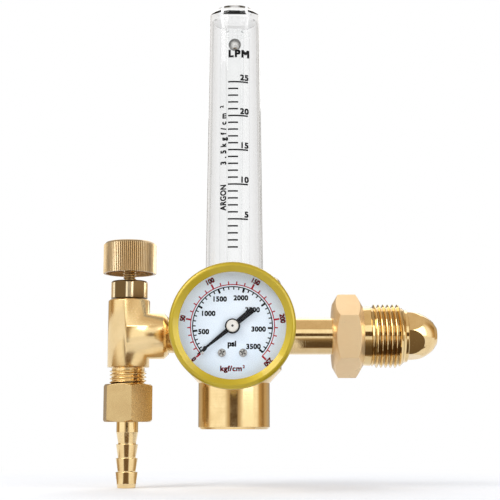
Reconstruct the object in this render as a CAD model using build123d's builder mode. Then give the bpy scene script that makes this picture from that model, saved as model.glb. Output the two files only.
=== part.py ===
from build123d import *
from math import acos, asin, cos, degrees, pi, radians, sin, sqrt, tan
import os

os.makedirs("parts", exist_ok=True)

# Argon flowmeter regulator, in millimetres. +Z is up the flow tube, +X is towards the cylinder
# valve and the gauge looks towards -Y. The origin is on the inlet axis, at the middle of the
# inlet nut's thread, and the inlet, outlet and gauge ports all lie at height zero.

# Fits between pieces
seat_gap = 0.05  # radial room of a screwed or pressed spigot in its bore
run_gap = 0.08  # radial room of a sliding or turning fit
air = 0.3  # room between pieces that only pass each other
face_gap = 0.1  # room between end faces that almost meet

# Main body
thread_to_body = 58.0  # middle of the inlet thread to the body's vertical axis
body_radius = 18.3
body_top = 22.6
body_bottom = -18.3
body_crown = 3.0
body_foot = 5.2
bonnet_step = 0.1  # how far the bonnet stands out from the body's foot
spot_face = 16.6  # the flat seat round each port, measured from the body's axis
spot_radius = 7.6
side_spigot_radius = 6.0  # the inlet's and the outlet's spigots
spigot_depth = 6.0  # how far each screwed spigot goes into the body

# Regulating chambers
chamber_radius = 6.05
chamber_top = 7.0
chamber_floor = -8.0
passage_radius = 2.0
riser_radius = 1.0
riser_distance = 8.2
riser_azimuth = 45
feed_height = 10.0  # height of the cross drilling that feeds the metering tube
feed_pocket_radius = 3.0
down_drilling_distance = 8.8

# Bonnet, spring and piston
bonnet_radius = 13.7
bonnet_bottom = -35.7
bonnet_spigot_radius = 12.0
bonnet_bore_radius = 10.5
bonnet_floor = -30.5
bonnet_lip = 0.8
bonnet_vent_radius = 0.8
plug_radius = 7.0
plug_socket = 6.0
plug_socket_depth = 3.2
plug_setback = 0.5
piston_top = -11.0
piston_thickness = 5.0
piston_seal_height = 1.8
piston_seal_depth = 1.4
pin_radius = 1.2
pin_stand = 0.8  # how far the piston's pin reaches into the seat holder
stroke = 0.8
spring_wire = 1.7
spring_mean_radius = 5.5
spring_turns = 4

# Valve seat and poppet
seat_holder_height = 4.0
seat_ring_radius = 3.5
seat_ring_height = 1.5
seat_hole_radius = 1.6
poppet_radius = 2.8
poppet_stem_radius = 0.9
poppet_length = 2.4
small_spring_wire = 0.7
small_spring_turns = 4
small_spring_sides = 10
small_spring_inset = 0.9  # from the piece that it presses on to the middle of its wire

# Flow tube
tube_base_radius = 11.2
tube_top_radius = 9.9
tube_top = 131.6
tube_shoulder = 2.3
tube_crown_radius = 7.6
tube_wall = 1.25
tube_roof_thickness = 5.1
tube_socket_floor = 14.5
gasket_thickness = 1.5
wrench_slot_width = 1.0
wrench_slot_spacing = 9.5
wrench_slot_depth = 3.5
metering_radius = 6.0
metering_headroom = 4.5
metering_base_height = 11.5
metering_gasket = 1.0
metering_bore_bottom = 2.7
metering_bore_top = 3.6
ball_radius = 2.5
ball_gap = 0.7  # from the ball at its reading to the float stop
metering_seat_radius = 1.8
metering_seat_height = 2.0
stop_length = 2.7
stop_stand = 1.4
stop_groove_radius = 1.1
stop_grooves = 4

# Inlet nipple and nut
shank_radius = 7.1
inlet_bore_radius = 1.75
filter_radius = 3.0
filter_length = 12.0
nut_flats = 28.0
nut_turn = 35  # the angle of one corner, from the rear towards the top
nut_hex_start = -19.9
nut_hex_end = -8.3
nut_rear_face_radius = 12.5
nut_neck_radius = 11.5
nut_neck_end = -5.3
inlet_thread_radius = 12.25
inlet_thread_length = 10.6
thread_run_out = 2.3
nut_face_radius = 10.1
nut_face = 8.8
nose_radius = 9.6
nose_flats = 16.6
nose_turn = -10
nose_length = 11.5
nose_arc_radius = 14.5
nose_tip_length = 1.4
nose_tip_radius = 3.4

# Cylinder-pressure gauge. Distances run forward from the body's axis.
gauge_front = 49.0
gauge_back = 24.0
case_radius = 20.6
case_wall = 0.8
bezel_wall = 1.6  # how far the bezel stands out from the case
bezel_cover = 1.9  # how far it reaches in over the lens
bezel_lip = 1.6
bezel_skirt = 7.5
bezel_swell = 3.0
bezel_round = 1.5
bezel_dish = 0.9
lens_thickness = 1.4
dial_setback = 3.0
dial_thickness = 0.4
dial_edge_gap = 0.2
dial_hole_radius = 1.2
dial_screw_spacing = 7.4
dial_screw_rise = 2.1  # from the movement plates' lower edge to the screws
dial_screw_radius = 1.45
dial_screw_shank = 0.7
dial_screw_head = 0.8
dial_screw_length = 2.0
dial_post_radius = 1.5
dial_post_length = 4.0
socket_square = 14.0
socket_collar_radius = 7.3
socket_collar_length = 2.2
socket_spigot_radius = 6.5
socket_pad = 6.0
socket_flange = 2.0
socket_bore_radius = 1.2

# Gauge movement
pivot_room = 6.7  # from the Bourdon tube to the sector's pivot
pinion_teeth = 12
sector_teeth = 72
sector_cut_teeth = 13
pressure_angle = 20
gear_backlash = 0.03
pointer_rest_angle = 218.9
pointer_margin = 2.9  # from the pointer's tip to the bezel's window
pointer_tail = 9.6
pointer_root_half = 0.9
pointer_waist_half = 0.4
pointer_tip_half = 0.15
pointer_waist_inset = 4.4  # from the tip to where the blade narrows
pointer_blob_inset = 3.5
pointer_blob_radius = 0.7
pointer_boss_radius = 2.65
pointer_thickness = 0.3
pointer_lift = 0.9
hub_radius = 2.1
hub_neck_radius = 1.0
hub_collar = 0.5
hub_edge = 0.3
arbor_radius = 0.6
arbor_stand = 2.3  # from the dial to the arbor's end
pinion_width = 2.6
pinion_lift = 1.6
sector_thickness = 1.0
sector_lift = 0.8
sector_hub_radius = 1.9
arm_half_width = 0.8
plate_thickness = 1.0
plate_spacing = 6.0
plate_width = 13.0
plate_below_pivot = 3.0
plate_above_arbor = 5.0
pillar_radius = 1.1
pillar_inset = 1.3
arm_length = 3.2
arm_angle = 236
stop_pin_offset = 0.76  # from the pointer's middle line to the pin's middle
stop_pin_inset = 1.8  # from the pointer's tip
stop_pin_height = 1.2
stop_pin_radius = 0.5
bourdon_clearance = 2.9  # from the tube to the case
bourdon_width = 7.0
bourdon_depth = 1.8
bourdon_start = 217
bourdon_end = -40
holder_width = 5.0
holder_margin = 1.5
holder_lip = 0.4
tip_width = 2.2
tip_depth = 2.6
tip_setback = 0.6
ear_thickness = 1.0
ear_rise = 0.4
link_eye_inset = 1.93
link_eye_angle = -60.15
link_width = 1.6
link_thickness = 0.5
link_pin_radius = 0.45
hairspring_turns = 3
hairspring_pitch = 0.7
hairspring_strip = 0.25
hairspring_steps = 16
hairspring_width = 0.8
hairspring_gap = 0.4

# Outlet needle valve
body_to_valve = 40.9
valve_radius = 8.05
valve_top = 14.0
valve_bottom = -12.0
valve_edge = 0.5
branch_radius = 8.8
branch_end = 25.5  # the branch's shoulder, measured from the body's axis
branch_chamfer = 1.6
neck_radius = 6.5
gland_radius = 5.4
gland_depth = 7.0
valve_chamber_radius = 3.2
valve_seat_height = -3.0
valve_seat_depth = 3.0
orifice_radius = 1.2
outlet_bore_radius = 2.5
outlet_thread_radius = 7.1
outlet_spigot_end = -25.0
undercut_radius = 6.3
undercut_height = 1.5
packing_nut_flats = 14.0
packing_nut_turn = 36
packing_nut_round = 7.7
packing_nut_bottom = 14.6
packing_nut_top = 21.3
packing_nut_chamfer = 1.0
packing_height = 2.0
stem_radius = 2.5
stem_bottom = -1.0
needle_radius = 1.15
needle_head_length = 3.0
needle_tip = -5.0
needle_tip_radius = 0.4
knob_radius = 10.3
knob_bottom = 24.4
knob_top = 36.6
knob_ribs = 80
knob_rib_depth = 0.5
knob_edge = 1.0
knob_rim = 1.0
knob_cup_depth = 5.2
knob_boss_radius = 4.2
knob_boss_setback = 2.2
knob_screw_radius = 2.6
knob_screw_head = 1.4
knob_screw_length = 5.0
knob_screw_room = 1.0
knob_cross = 3.0
knob_cross_width = 0.8

# Outlet nut and hose barb
outlet_nut_flats = 17.46
outlet_nut_turn = 44
outlet_nut_top = -18.6
outlet_nut_bottom = -32.9
outlet_nut_lip = 4.0
barb_radius = 4.15
barb_head_radius = 6.8
barb_bore_radius = 2.25
barb_shank_bottom = -36.8
barb_ring_radius = 4.2
barb_root_radius = 3.45
barb_top_ring = -41.4
barb_pitch = 5.2
barb_rings = 3
barb_fillet = 0.6
barb_land = 0.5
barb_edge = 0.1
barb_tip = -57.7

# Relief valve at the back
relief_spigot_radius = 4.5
relief_flats = 13.0
relief_hex_length = 5.0
relief_barrel_radius = 5.5
relief_length = 15.4
relief_bore_radius = 4.0
relief_nozzle_radius = 1.0
relief_seat_distance = 3.4
relief_disc_thickness = 2.0
relief_disc_radius = 3.7
relief_cap_length = 2.5
relief_slot = 1.0
relief_vents = 4
relief_vent_radius = 1.0
relief_vent_distance = 6.7

# Places worked out from the sizes above
body_x = -thread_to_body
valve_x = body_x - body_to_valve
hex_ratio = 1 / cos(radians(30))
bore_end = spot_face - spigot_depth  # the bottom of each spigot's bore, from the body's axis
tube_taper_top = tube_top - tube_shoulder
tube_roof = tube_top - tube_roof_thickness
metering_top = tube_roof - metering_headroom
bezel_radius = case_radius + bezel_wall
bezel_window = case_radius - bezel_cover
pointer_length = bezel_window - pointer_margin
stop_pin_distance = pointer_length - stop_pin_inset
stop_pin_angle = pointer_rest_angle + degrees(asin(stop_pin_offset / stop_pin_distance))
bourdon_radius = case_radius - case_wall - bourdon_clearance - bourdon_depth / 2
gear_distance = bourdon_radius - bourdon_depth / 2 - pivot_room
gear_module = 2 * gear_distance / (pinion_teeth + sector_teeth)
plate_bottom = -gear_distance - plate_below_pivot
dial_screw_height = plate_bottom + dial_screw_rise


def level(x, z):
    """A horizontal plane at height z, on the vertical axis at x."""
    return Plane(origin=(x, 0, z))


def upright(x):
    """The section plane of a part turned about the vertical axis at x: radius right, height up."""
    return Plane(origin=(x, 0, 0), x_dir=(1, 0, 0), z_dir=(0, -1, 0))


def facing(distance):
    """A plane facing the viewer, at that distance in front of the body's axis."""
    return Plane(origin=(body_x, -distance, 0), x_dir=(1, 0, 0), z_dir=(0, -1, 0))


def across(x):
    """A plane square to the inlet axis, facing the cylinder valve."""
    return Plane(origin=(x, 0, 0), x_dir=(0, 1, 0), z_dir=(1, 0, 0))


def rearward(distance, z=0.0):
    """A plane facing backwards, at that distance behind the body's axis."""
    return Plane(origin=(body_x, distance, z), x_dir=(-1, 0, 0), z_dir=(0, 1, 0))


gauge_section = Plane(origin=(body_x, 0, 0), x_dir=(0, -1, 0), z_dir=(-1, 0, 0))
relief_section = Plane(origin=(body_x, 0, feed_height), x_dir=(0, 1, 0), z_dir=(1, 0, 0))
body_axis = Axis((body_x, 0, 0), (0, 0, 1))
valve_axis = Axis((valve_x, 0, 0), (0, 0, 1))
gauge_axis = Axis((body_x, 0, 0), (0, -1, 0))
relief_axis = Axis((body_x, 0, feed_height), (0, 1, 0))


def polar(radius, angle):
    """A point at that radius and angle in degrees."""
    return (radius * cos(radians(angle)), radius * sin(radians(angle)))


def save(part, name):
    """Labels a finished piece and writes it to its own file."""
    part.label = name
    export_step(part, f"parts/{name}.step")


def coil(x, bottom, top, mean_radius, wire, turns, sides=14):
    """A compression spring on the vertical axis at x, its wire a flat-sided bar bent sides times a turn."""
    rise = top - bottom - wire
    steps = round(turns * sides)
    half = wire / 2 * 0.94
    rings = []
    for step in range(steps + 1):
        angle = 360 * step / sides
        height = bottom + wire / 2 + rise * step / steps
        centre = Vector(x, 0, height) + Vector(*polar(mean_radius, angle), 0)
        outward = Vector(*polar(1, angle), 0)
        corners = [
            centre + outward * (half * cos(radians(a))) + Vector(0, 0, half * sin(radians(a)))
            for a in (30, 90, 150, 210, 270, 330)
        ]
        rings.append(corners)
    faces = [Face(Wire.make_polygon(rings[0])), Face(Wire.make_polygon(rings[-1]))]
    for low, high in zip(rings, rings[1:]):
        for k in range(len(low)):
            a, b = low[k], low[(k + 1) % len(low)]
            c, d = high[(k + 1) % len(low)], high[k]
            faces.append(Face(Wire.make_polygon([a, b, c])))
            faces.append(Face(Wire.make_polygon([a, c, d])))
    return Solid(Shell(faces))


# Main body: one turned brass block with every chamber and drilling cut in it
tube_socket_radius = tube_base_radius + seat_gap
with BuildPart() as main_body:
    with BuildSketch(upright(body_x)):
        with BuildLine():
            Polyline(
                (0, body_bottom),
                (bonnet_radius - bonnet_step, body_bottom),
                (body_radius, body_bottom + body_foot),
                (body_radius, body_top - body_crown),
            )
            crown = CenterArc((body_radius - body_crown, body_top - body_crown), body_crown, 0, 90)
            Polyline(crown @ 1, (0, body_top), (0, body_bottom))
        make_face()
    revolve(axis=body_axis)
    for plane in (across(body_x + spot_face), facing(spot_face), rearward(spot_face, feed_height)):
        with BuildSketch(plane):
            Circle(spot_radius)
        extrude(amount=body_radius, mode=Mode.SUBTRACT)
    with BuildSketch(across(body_x - spot_face)):
        Circle(spot_radius)
    extrude(amount=-body_radius, mode=Mode.SUBTRACT)
    # bonnet bore, regulating chamber and the tube's socket on the vertical axis
    with BuildSketch(level(body_x, body_bottom)):
        Circle(bonnet_spigot_radius + seat_gap)
    extrude(amount=chamber_floor - body_bottom, mode=Mode.SUBTRACT)
    with BuildSketch(level(body_x, chamber_floor)):
        Circle(chamber_radius)
    extrude(amount=chamber_top - chamber_floor, mode=Mode.SUBTRACT)
    with BuildSketch(level(body_x, tube_socket_floor)):
        Circle(tube_socket_radius)
    extrude(amount=body_top - tube_socket_floor, mode=Mode.SUBTRACT)
    with BuildSketch(level(body_x, metering_base_height)):
        Circle(metering_radius + seat_gap)
    extrude(amount=tube_socket_floor - metering_base_height, mode=Mode.SUBTRACT)
    with BuildSketch(level(body_x, feed_height - riser_radius)):
        Circle(feed_pocket_radius)
    extrude(amount=metering_base_height - feed_height + riser_radius, mode=Mode.SUBTRACT)
    # inlet, gauge and outlet ports, each a spigot bore and a passage
    for plane, radius in (
        (across(body_x + bore_end), side_spigot_radius),
        (facing(bore_end), socket_spigot_radius),
    ):
        with BuildSketch(plane):
            Circle(radius + seat_gap)
        extrude(amount=spigot_depth + 1, mode=Mode.SUBTRACT)
        with BuildSketch(plane):
            Circle(passage_radius)
        extrude(amount=-(bore_end - chamber_radius + 1), mode=Mode.SUBTRACT)
    with BuildSketch(across(body_x - bore_end)):
        Circle(side_spigot_radius + seat_gap)
    extrude(amount=-(spigot_depth + 1), mode=Mode.SUBTRACT)
    with BuildSketch(across(body_x - bore_end)):
        Circle(passage_radius)
    extrude(amount=bore_end - down_drilling_distance + riser_radius, mode=Mode.SUBTRACT)
    with BuildSketch(level(body_x - down_drilling_distance, 0)):
        Circle(riser_radius)
    extrude(amount=tube_socket_floor + 1, mode=Mode.SUBTRACT)
    # low-pressure riser, its cross drilling and the relief valve's port
    riser_spot = polar(riser_distance, riser_azimuth)
    with BuildSketch(Plane(origin=(body_x + riser_spot[0], riser_spot[1], chamber_floor - 1))):
        Circle(riser_radius)
    extrude(amount=feed_height - chamber_floor + 1, mode=Mode.SUBTRACT)
    riser_direction = (*polar(1, riser_azimuth), 0)
    with BuildSketch(Plane(origin=(body_x, 0, feed_height), z_dir=riser_direction)):
        Circle(riser_radius)
    extrude(amount=riser_distance, mode=Mode.SUBTRACT)
    with BuildSketch(rearward(bore_end, feed_height)):
        Circle(relief_spigot_radius + seat_gap)
    extrude(amount=spigot_depth + 1, mode=Mode.SUBTRACT)
    with BuildSketch(rearward(0, feed_height)):
        Circle(riser_radius)
    extrude(amount=bore_end + 1, mode=Mode.SUBTRACT)
save(main_body.part, "main_body")

# Bonnet: a turned cup screwed into the body from below, with a vent to the spring's side
bonnet_top = chamber_floor - face_gap
with BuildPart() as bonnet:
    with BuildSketch(upright(body_x)):
        with BuildLine():
            Polyline(
                (plug_radius + seat_gap, bonnet_bottom),
                (bonnet_radius - bonnet_lip, bonnet_bottom),
                (bonnet_radius, bonnet_bottom + bonnet_lip),
                (bonnet_radius, body_bottom),
                (bonnet_spigot_radius, body_bottom),
                (bonnet_spigot_radius, bonnet_top),
                (bonnet_bore_radius, bonnet_top),
                (bonnet_bore_radius, bonnet_floor),
                (plug_radius + seat_gap, bonnet_floor),
                close=True,
            )
        make_face()
    revolve(axis=body_axis)
    with BuildSketch(rearward(0, (body_bottom + bonnet_floor) / 2)):
        Circle(bonnet_vent_radius)
    extrude(amount=bonnet_radius + 1, mode=Mode.SUBTRACT)
save(bonnet.part, "bonnet")

# Preset plug: sets the spring's load through a hexagon socket
plug_bottom = bonnet_bottom + plug_setback
with BuildPart() as preset_plug:
    with BuildSketch(level(body_x, plug_bottom)):
        Circle(plug_radius)
    extrude(amount=bonnet_floor - plug_bottom)
    with BuildSketch(level(body_x, plug_bottom)):
        RegularPolygon(plug_socket / 2, 6, major_radius=False)
    extrude(amount=plug_socket_depth, mode=Mode.SUBTRACT)
save(preset_plug.part, "preset_plug")

# Adjusting spring, between the plug and the piston
piston_bottom = piston_top - piston_thickness
adjusting_spring = coil(
    body_x, bonnet_floor, piston_bottom, spring_mean_radius, spring_wire, spring_turns
)
save(adjusting_spring, "adjusting_spring")

# Piston: slides in the bonnet, carries its seal in a groove and lifts the poppet with its pin
seat_holder_bottom = chamber_floor
pin_top = seat_holder_bottom + pin_stand
groove_bottom = piston_bottom + (piston_thickness - piston_seal_height) / 2
with BuildPart() as piston:
    with BuildSketch(upright(body_x)):
        with BuildLine():
            Polyline(
                (0, piston_bottom),
                (bonnet_bore_radius - run_gap, piston_bottom),
                (bonnet_bore_radius - run_gap, groove_bottom),
                (bonnet_bore_radius - piston_seal_depth, groove_bottom),
                (bonnet_bore_radius - piston_seal_depth, groove_bottom + piston_seal_height),
                (bonnet_bore_radius - run_gap, groove_bottom + piston_seal_height),
                (bonnet_bore_radius - run_gap, piston_top),
                (pin_radius, piston_top),
                (pin_radius, pin_top),
                (0, pin_top),
                close=True,
            )
        make_face()
    revolve(axis=body_axis)
save(piston.part, "piston")

# Piston seal: a square-section ring in the groove
with BuildPart() as piston_seal:
    with BuildSketch(level(body_x, groove_bottom)):
        Circle(bonnet_bore_radius - run_gap / 2)
        Circle(bonnet_bore_radius - piston_seal_depth, mode=Mode.SUBTRACT)
    extrude(amount=piston_seal_height)
save(piston_seal.part, "piston_seal")

# Seat holder: a ring screwed into the chamber, with the soft seat let into its top
seat_top = seat_holder_bottom + seat_holder_height
seat_bottom = seat_top - seat_ring_height
with BuildPart() as seat_holder:
    with BuildSketch(level(body_x, seat_holder_bottom)):
        Circle(chamber_radius - seat_gap)
        Circle(seat_hole_radius, mode=Mode.SUBTRACT)
    extrude(amount=seat_holder_height)
    with BuildSketch(level(body_x, seat_bottom)):
        Circle(seat_ring_radius + seat_gap)
    extrude(amount=seat_ring_height, mode=Mode.SUBTRACT)
save(seat_holder.part, "seat_holder")

with BuildPart() as valve_seat:
    with BuildSketch(level(body_x, seat_bottom)):
        Circle(seat_ring_radius)
        Circle(seat_hole_radius, mode=Mode.SUBTRACT)
    extrude(amount=seat_ring_height)
save(valve_seat.part, "valve_seat")

# Poppet: a cone that closes the seat when the piston goes down by its stroke
cone_bottom = seat_top + stroke - (seat_hole_radius - poppet_stem_radius) + seat_gap
cone_top = cone_bottom + poppet_radius - poppet_stem_radius
poppet_shoulder = cone_top + poppet_length
with BuildPart() as poppet:
    with BuildSketch(upright(body_x)):
        with BuildLine():
            Polyline(
                (0, pin_top),
                (poppet_stem_radius, pin_top),
                (poppet_stem_radius, cone_bottom),
                (poppet_radius, cone_top),
                (poppet_radius, poppet_shoulder),
                (0, poppet_shoulder),
                close=True,
            )
        make_face()
    revolve(axis=body_axis)
save(poppet.part, "poppet")

# Poppet spring, between the poppet and the chamber's roof
poppet_spring = coil(
    body_x,
    poppet_shoulder,
    chamber_top,
    poppet_radius - small_spring_inset,
    small_spring_wire,
    small_spring_turns,
    small_spring_sides,
)
save(poppet_spring, "poppet_spring")

# Inlet nipple: shank, bullet nose with wrench flats, filter bore
shank_start = body_x + spot_face
nipple_end = nut_face + nose_length
tip_start = nipple_end - nose_tip_length
tip_drop = nose_arc_radius - sqrt(nose_arc_radius**2 - (tip_start - nut_face) ** 2)
arc_middle = (nut_face + tip_start) / 2
middle_drop = nose_arc_radius - sqrt(nose_arc_radius**2 - (arc_middle - nut_face) ** 2)
with BuildPart() as inlet_nipple:
    with BuildSketch(across(nut_face)):
        RegularPolygon(nose_flats / 2, 6, major_radius=False, rotation=nose_turn)
    extrude(amount=nose_length)
    with BuildSketch(Plane.XZ):
        with BuildLine():
            Line((nut_face, 0), (nut_face, nose_radius))
            ThreePointArc(
                (nut_face, nose_radius),
                (arc_middle, nose_radius - middle_drop),
                (tip_start, nose_radius - tip_drop),
            )
            Polyline(
                (tip_start, nose_radius - tip_drop),
                (nipple_end, nose_tip_radius),
                (nipple_end, 0),
                (nut_face, 0),
            )
        make_face()
    revolve(axis=Axis.X, mode=Mode.INTERSECT)
    with BuildSketch(across(shank_start)):
        Circle(shank_radius)
    extrude(amount=nut_face - shank_start)
    with BuildSketch(across(body_x + bore_end)):
        Circle(side_spigot_radius)
    extrude(amount=spigot_depth)
    with BuildSketch(across(body_x + bore_end)):
        Circle(inlet_bore_radius)
    extrude(amount=nipple_end - body_x - bore_end, mode=Mode.SUBTRACT)
    with BuildSketch(across(body_x + bore_end)):
        Circle(filter_radius + seat_gap)
    extrude(amount=filter_length, mode=Mode.SUBTRACT)
save(inlet_nipple.part, "inlet_nipple")

with BuildPart() as inlet_filter:
    with BuildSketch(across(body_x + bore_end)):
        Circle(filter_radius)
    extrude(amount=filter_length)
save(inlet_filter.part, "inlet_filter")

# Inlet nut: a hexagon with turned ends and the cylinder valve's thread, free to turn on the shank
thread_end = inlet_thread_length / 2
with BuildPart() as inlet_nut:
    with BuildSketch(across(nut_hex_start)):
        RegularPolygon(nut_flats / 2, 6, major_radius=False, rotation=nut_turn)
    extrude(amount=nut_hex_end - nut_hex_start)
    nut_corner = nut_flats / 2 * hex_ratio
    rear_chamfer = (nut_corner - nut_rear_face_radius) * tan(radians(30))
    front_chamfer = (nut_corner - nut_neck_radius) * tan(radians(30))
    with BuildSketch(Plane.XZ):
        with BuildLine():
            Polyline(
                (nut_hex_start, 0),
                (nut_hex_start, nut_rear_face_radius),
                (nut_hex_start + rear_chamfer, nut_corner),
                (nut_hex_end - front_chamfer, nut_corner),
                (nut_hex_end, nut_neck_radius),
                (nut_hex_end, 0),
                close=True,
            )
        make_face()
    revolve(axis=Axis.X, mode=Mode.INTERSECT)
    with BuildSketch(Plane.XZ):
        with BuildLine():
            Polyline(
                (nut_hex_end, 0),
                (nut_hex_end, nut_neck_radius),
                (nut_neck_end, nut_neck_radius),
                (nut_neck_end, inlet_thread_radius),
                (thread_end, inlet_thread_radius),
                (thread_end + thread_run_out, nut_face_radius),
                (nut_face - seat_gap, nut_face_radius),
                (nut_face - seat_gap, 0),
                close=True,
            )
        make_face()
    revolve(axis=Axis.X)
    with BuildSketch(across(nut_hex_start)):
        Circle(shank_radius + run_gap)
    extrude(amount=nut_face - nut_hex_start, mode=Mode.SUBTRACT)
save(inlet_nut.part, "inlet_nut")

# Relief valve: nozzle and hexagon, disc, spring and the slotted cap that loads it
relief_start = bore_end
relief_seat = spot_face + relief_seat_distance
relief_end = spot_face + relief_length
with BuildPart() as relief_body:
    with BuildSketch(relief_section):
        with BuildLine():
            Polyline(
                (relief_start, relief_nozzle_radius),
                (relief_start, relief_spigot_radius),
                (spot_face, relief_spigot_radius),
                (spot_face, relief_barrel_radius),
                (relief_end, relief_barrel_radius),
                (relief_end, relief_bore_radius),
                (relief_seat, relief_bore_radius),
                (relief_seat, relief_nozzle_radius),
                close=True,
            )
        make_face()
    revolve(axis=relief_axis)
    with BuildSketch(rearward(spot_face, feed_height)):
        RegularPolygon(relief_flats / 2, 6, major_radius=False)
        Circle(relief_barrel_radius, mode=Mode.SUBTRACT)
    extrude(amount=relief_hex_length)
    for vent in range(relief_vents):
        direction = polar(1, 360 * (vent + 0.5) / relief_vents)
        vent_plane = Plane(
            origin=(body_x, spot_face + relief_vent_distance, feed_height),
            z_dir=(direction[0], 0, direction[1]),
        )
        with BuildSketch(vent_plane):
            Circle(relief_vent_radius)
        extrude(amount=relief_barrel_radius + 1, mode=Mode.SUBTRACT)
save(relief_body.part, "relief_body")

with BuildPart() as relief_disc:
    with BuildSketch(rearward(relief_seat + seat_gap, feed_height)):
        Circle(relief_disc_radius)
    extrude(amount=relief_disc_thickness)
save(relief_disc.part, "relief_disc")

relief_cap_start = relief_end - relief_cap_length
with BuildPart() as relief_cap:
    with BuildSketch(rearward(relief_cap_start, feed_height)):
        Circle(relief_bore_radius - seat_gap)
        Circle(relief_nozzle_radius, mode=Mode.SUBTRACT)
    extrude(amount=relief_cap_length)
    with BuildSketch(rearward(relief_end, feed_height)):
        Rectangle(relief_bore_radius * 2, relief_slot)
    extrude(amount=-relief_slot, mode=Mode.SUBTRACT)
save(relief_cap.part, "relief_cap")

relief_spring_start = relief_seat + seat_gap + relief_disc_thickness
relief_coil = coil(
    0,
    relief_spring_start,
    relief_cap_start,
    relief_disc_radius - small_spring_inset,
    small_spring_wire,
    small_spring_turns,
    small_spring_sides,
)
relief_spring = relief_coil.rotate(Axis.X, -90).moved(Location((body_x, 0, feed_height)))
save(relief_spring, "relief_spring")

# Outer flow tube: one clear moulding, tapered outside and in, closed at the top
tube_socket_seat = tube_socket_floor + gasket_thickness
with BuildPart() as outer_tube:
    with BuildSketch(upright(body_x)):
        with BuildLine():
            Polyline(
                (tube_base_radius - tube_wall, tube_socket_seat),
                (tube_base_radius, tube_socket_seat),
                (tube_base_radius, body_top),
                (tube_top_radius, tube_taper_top),
                (tube_crown_radius, tube_top),
                (0, tube_top),
                (0, tube_roof),
                (tube_top_radius - tube_wall, tube_roof),
                close=True,
            )
        make_face()
    revolve(axis=body_axis)
    with BuildSketch(level(body_x, tube_top - wrench_slot_depth)):
        with GridLocations(wrench_slot_spacing, 0, 2, 1):
            Rectangle(wrench_slot_width, 2 * tube_top_radius)
    extrude(amount=wrench_slot_depth, mode=Mode.SUBTRACT)
save(outer_tube.part, "outer_tube")

with BuildPart() as cover_gasket:
    with BuildSketch(level(body_x, tube_socket_floor)):
        Circle(tube_base_radius)
        Circle(tube_base_radius - tube_wall, mode=Mode.SUBTRACT)
    extrude(amount=gasket_thickness)
save(cover_gasket.part, "cover_gasket")

# Metering tube: its bore widens upwards, so the ball rides higher as more gas flows
metering_bottom = metering_base_height + metering_gasket
with BuildPart() as metering_tube:
    with BuildSketch(upright(body_x)):
        with BuildLine():
            Polyline(
                (metering_seat_radius, metering_bottom),
                (metering_radius, metering_bottom),
                (metering_radius, metering_top),
                (metering_bore_top, metering_top),
                (metering_bore_bottom, metering_bottom + metering_seat_height),
                (metering_seat_radius, metering_bottom + metering_seat_height),
                close=True,
            )
        make_face()
    revolve(axis=body_axis)
save(metering_tube.part, "metering_tube")

with BuildPart() as tube_gasket:
    with BuildSketch(level(body_x, metering_base_height)):
        Circle(metering_radius)
        Circle(feed_pocket_radius, mode=Mode.SUBTRACT)
    extrude(amount=metering_bottom - metering_base_height)
save(tube_gasket.part, "tube_gasket")

# Float stop: keeps the ball in the tube and lets the gas past
stop_bottom = metering_top + stop_stand - stop_length
bore_rise = metering_top - metering_bottom - metering_seat_height
bore_slope = (metering_bore_top - metering_bore_bottom) / bore_rise
stop_radius = metering_bore_top - bore_slope * (metering_top - stop_bottom) - seat_gap
with BuildPart() as float_stop:
    with BuildSketch(level(body_x, stop_bottom)):
        Circle(stop_radius)
        with PolarLocations(stop_radius, stop_grooves):
            Circle(stop_groove_radius, mode=Mode.SUBTRACT)
    extrude(amount=stop_length)
save(float_stop.part, "float_stop")

# Float ball, at its reading just below the stop
ball_height = stop_bottom - ball_gap - ball_radius
with BuildPart() as float_ball:
    with BuildSketch(upright(body_x)):
        with BuildLine():
            CenterArc((0, ball_height), ball_radius, -90, 180)
            Line((0, ball_height + ball_radius), (0, ball_height - ball_radius))
        make_face()
    revolve(axis=body_axis)
save(float_ball.part, "float_ball")

# Outlet valve body: the upright barrel, the branch towards the body and the outlet thread
with BuildPart() as valve_body:
    with BuildSketch(upright(valve_x)):
        with BuildLine():
            Polyline(
                (0, outlet_spigot_end),
                (outlet_thread_radius, outlet_spigot_end),
                (outlet_thread_radius, valve_bottom - undercut_height),
                (undercut_radius, valve_bottom - undercut_height),
                (undercut_radius, valve_bottom),
                (valve_radius, valve_bottom),
                (valve_radius, valve_top - valve_edge),
                (valve_radius - valve_edge, valve_top),
                (0, valve_top),
                close=True,
            )
        make_face()
    revolve(axis=valve_axis)
    with BuildSketch(Plane.XZ):
        with BuildLine():
            Polyline(
                (valve_x, 0),
                (valve_x, branch_radius),
                (body_x - branch_end - branch_chamfer, branch_radius),
                (body_x - branch_end, branch_radius - branch_chamfer),
                (body_x - branch_end, neck_radius),
                (body_x - spot_face, neck_radius),
                (body_x - spot_face, side_spigot_radius),
                (body_x - bore_end, side_spigot_radius),
                (body_x - bore_end, 0),
                close=True,
            )
        make_face()
    revolve(axis=Axis.X)
    with BuildSketch(upright(valve_x)):
        with BuildLine():
            Polyline(
                (0, outlet_spigot_end),
                (outlet_bore_radius, outlet_spigot_end),
                (outlet_bore_radius, valve_seat_height - valve_seat_depth),
                (orifice_radius, valve_seat_height - valve_seat_depth),
                (orifice_radius, valve_seat_height),
                (valve_chamber_radius, valve_seat_height),
                (valve_chamber_radius, gland_depth),
                (gland_radius + seat_gap, gland_depth),
                (gland_radius + seat_gap, valve_top),
                (0, valve_top),
                close=True,
            )
        make_face()
    revolve(axis=valve_axis, mode=Mode.SUBTRACT)
    with BuildSketch(across(body_x - bore_end)):
        Circle(passage_radius)
    extrude(amount=-(body_to_valve - bore_end), mode=Mode.SUBTRACT)
save(valve_body.part, "valve_body")

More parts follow.
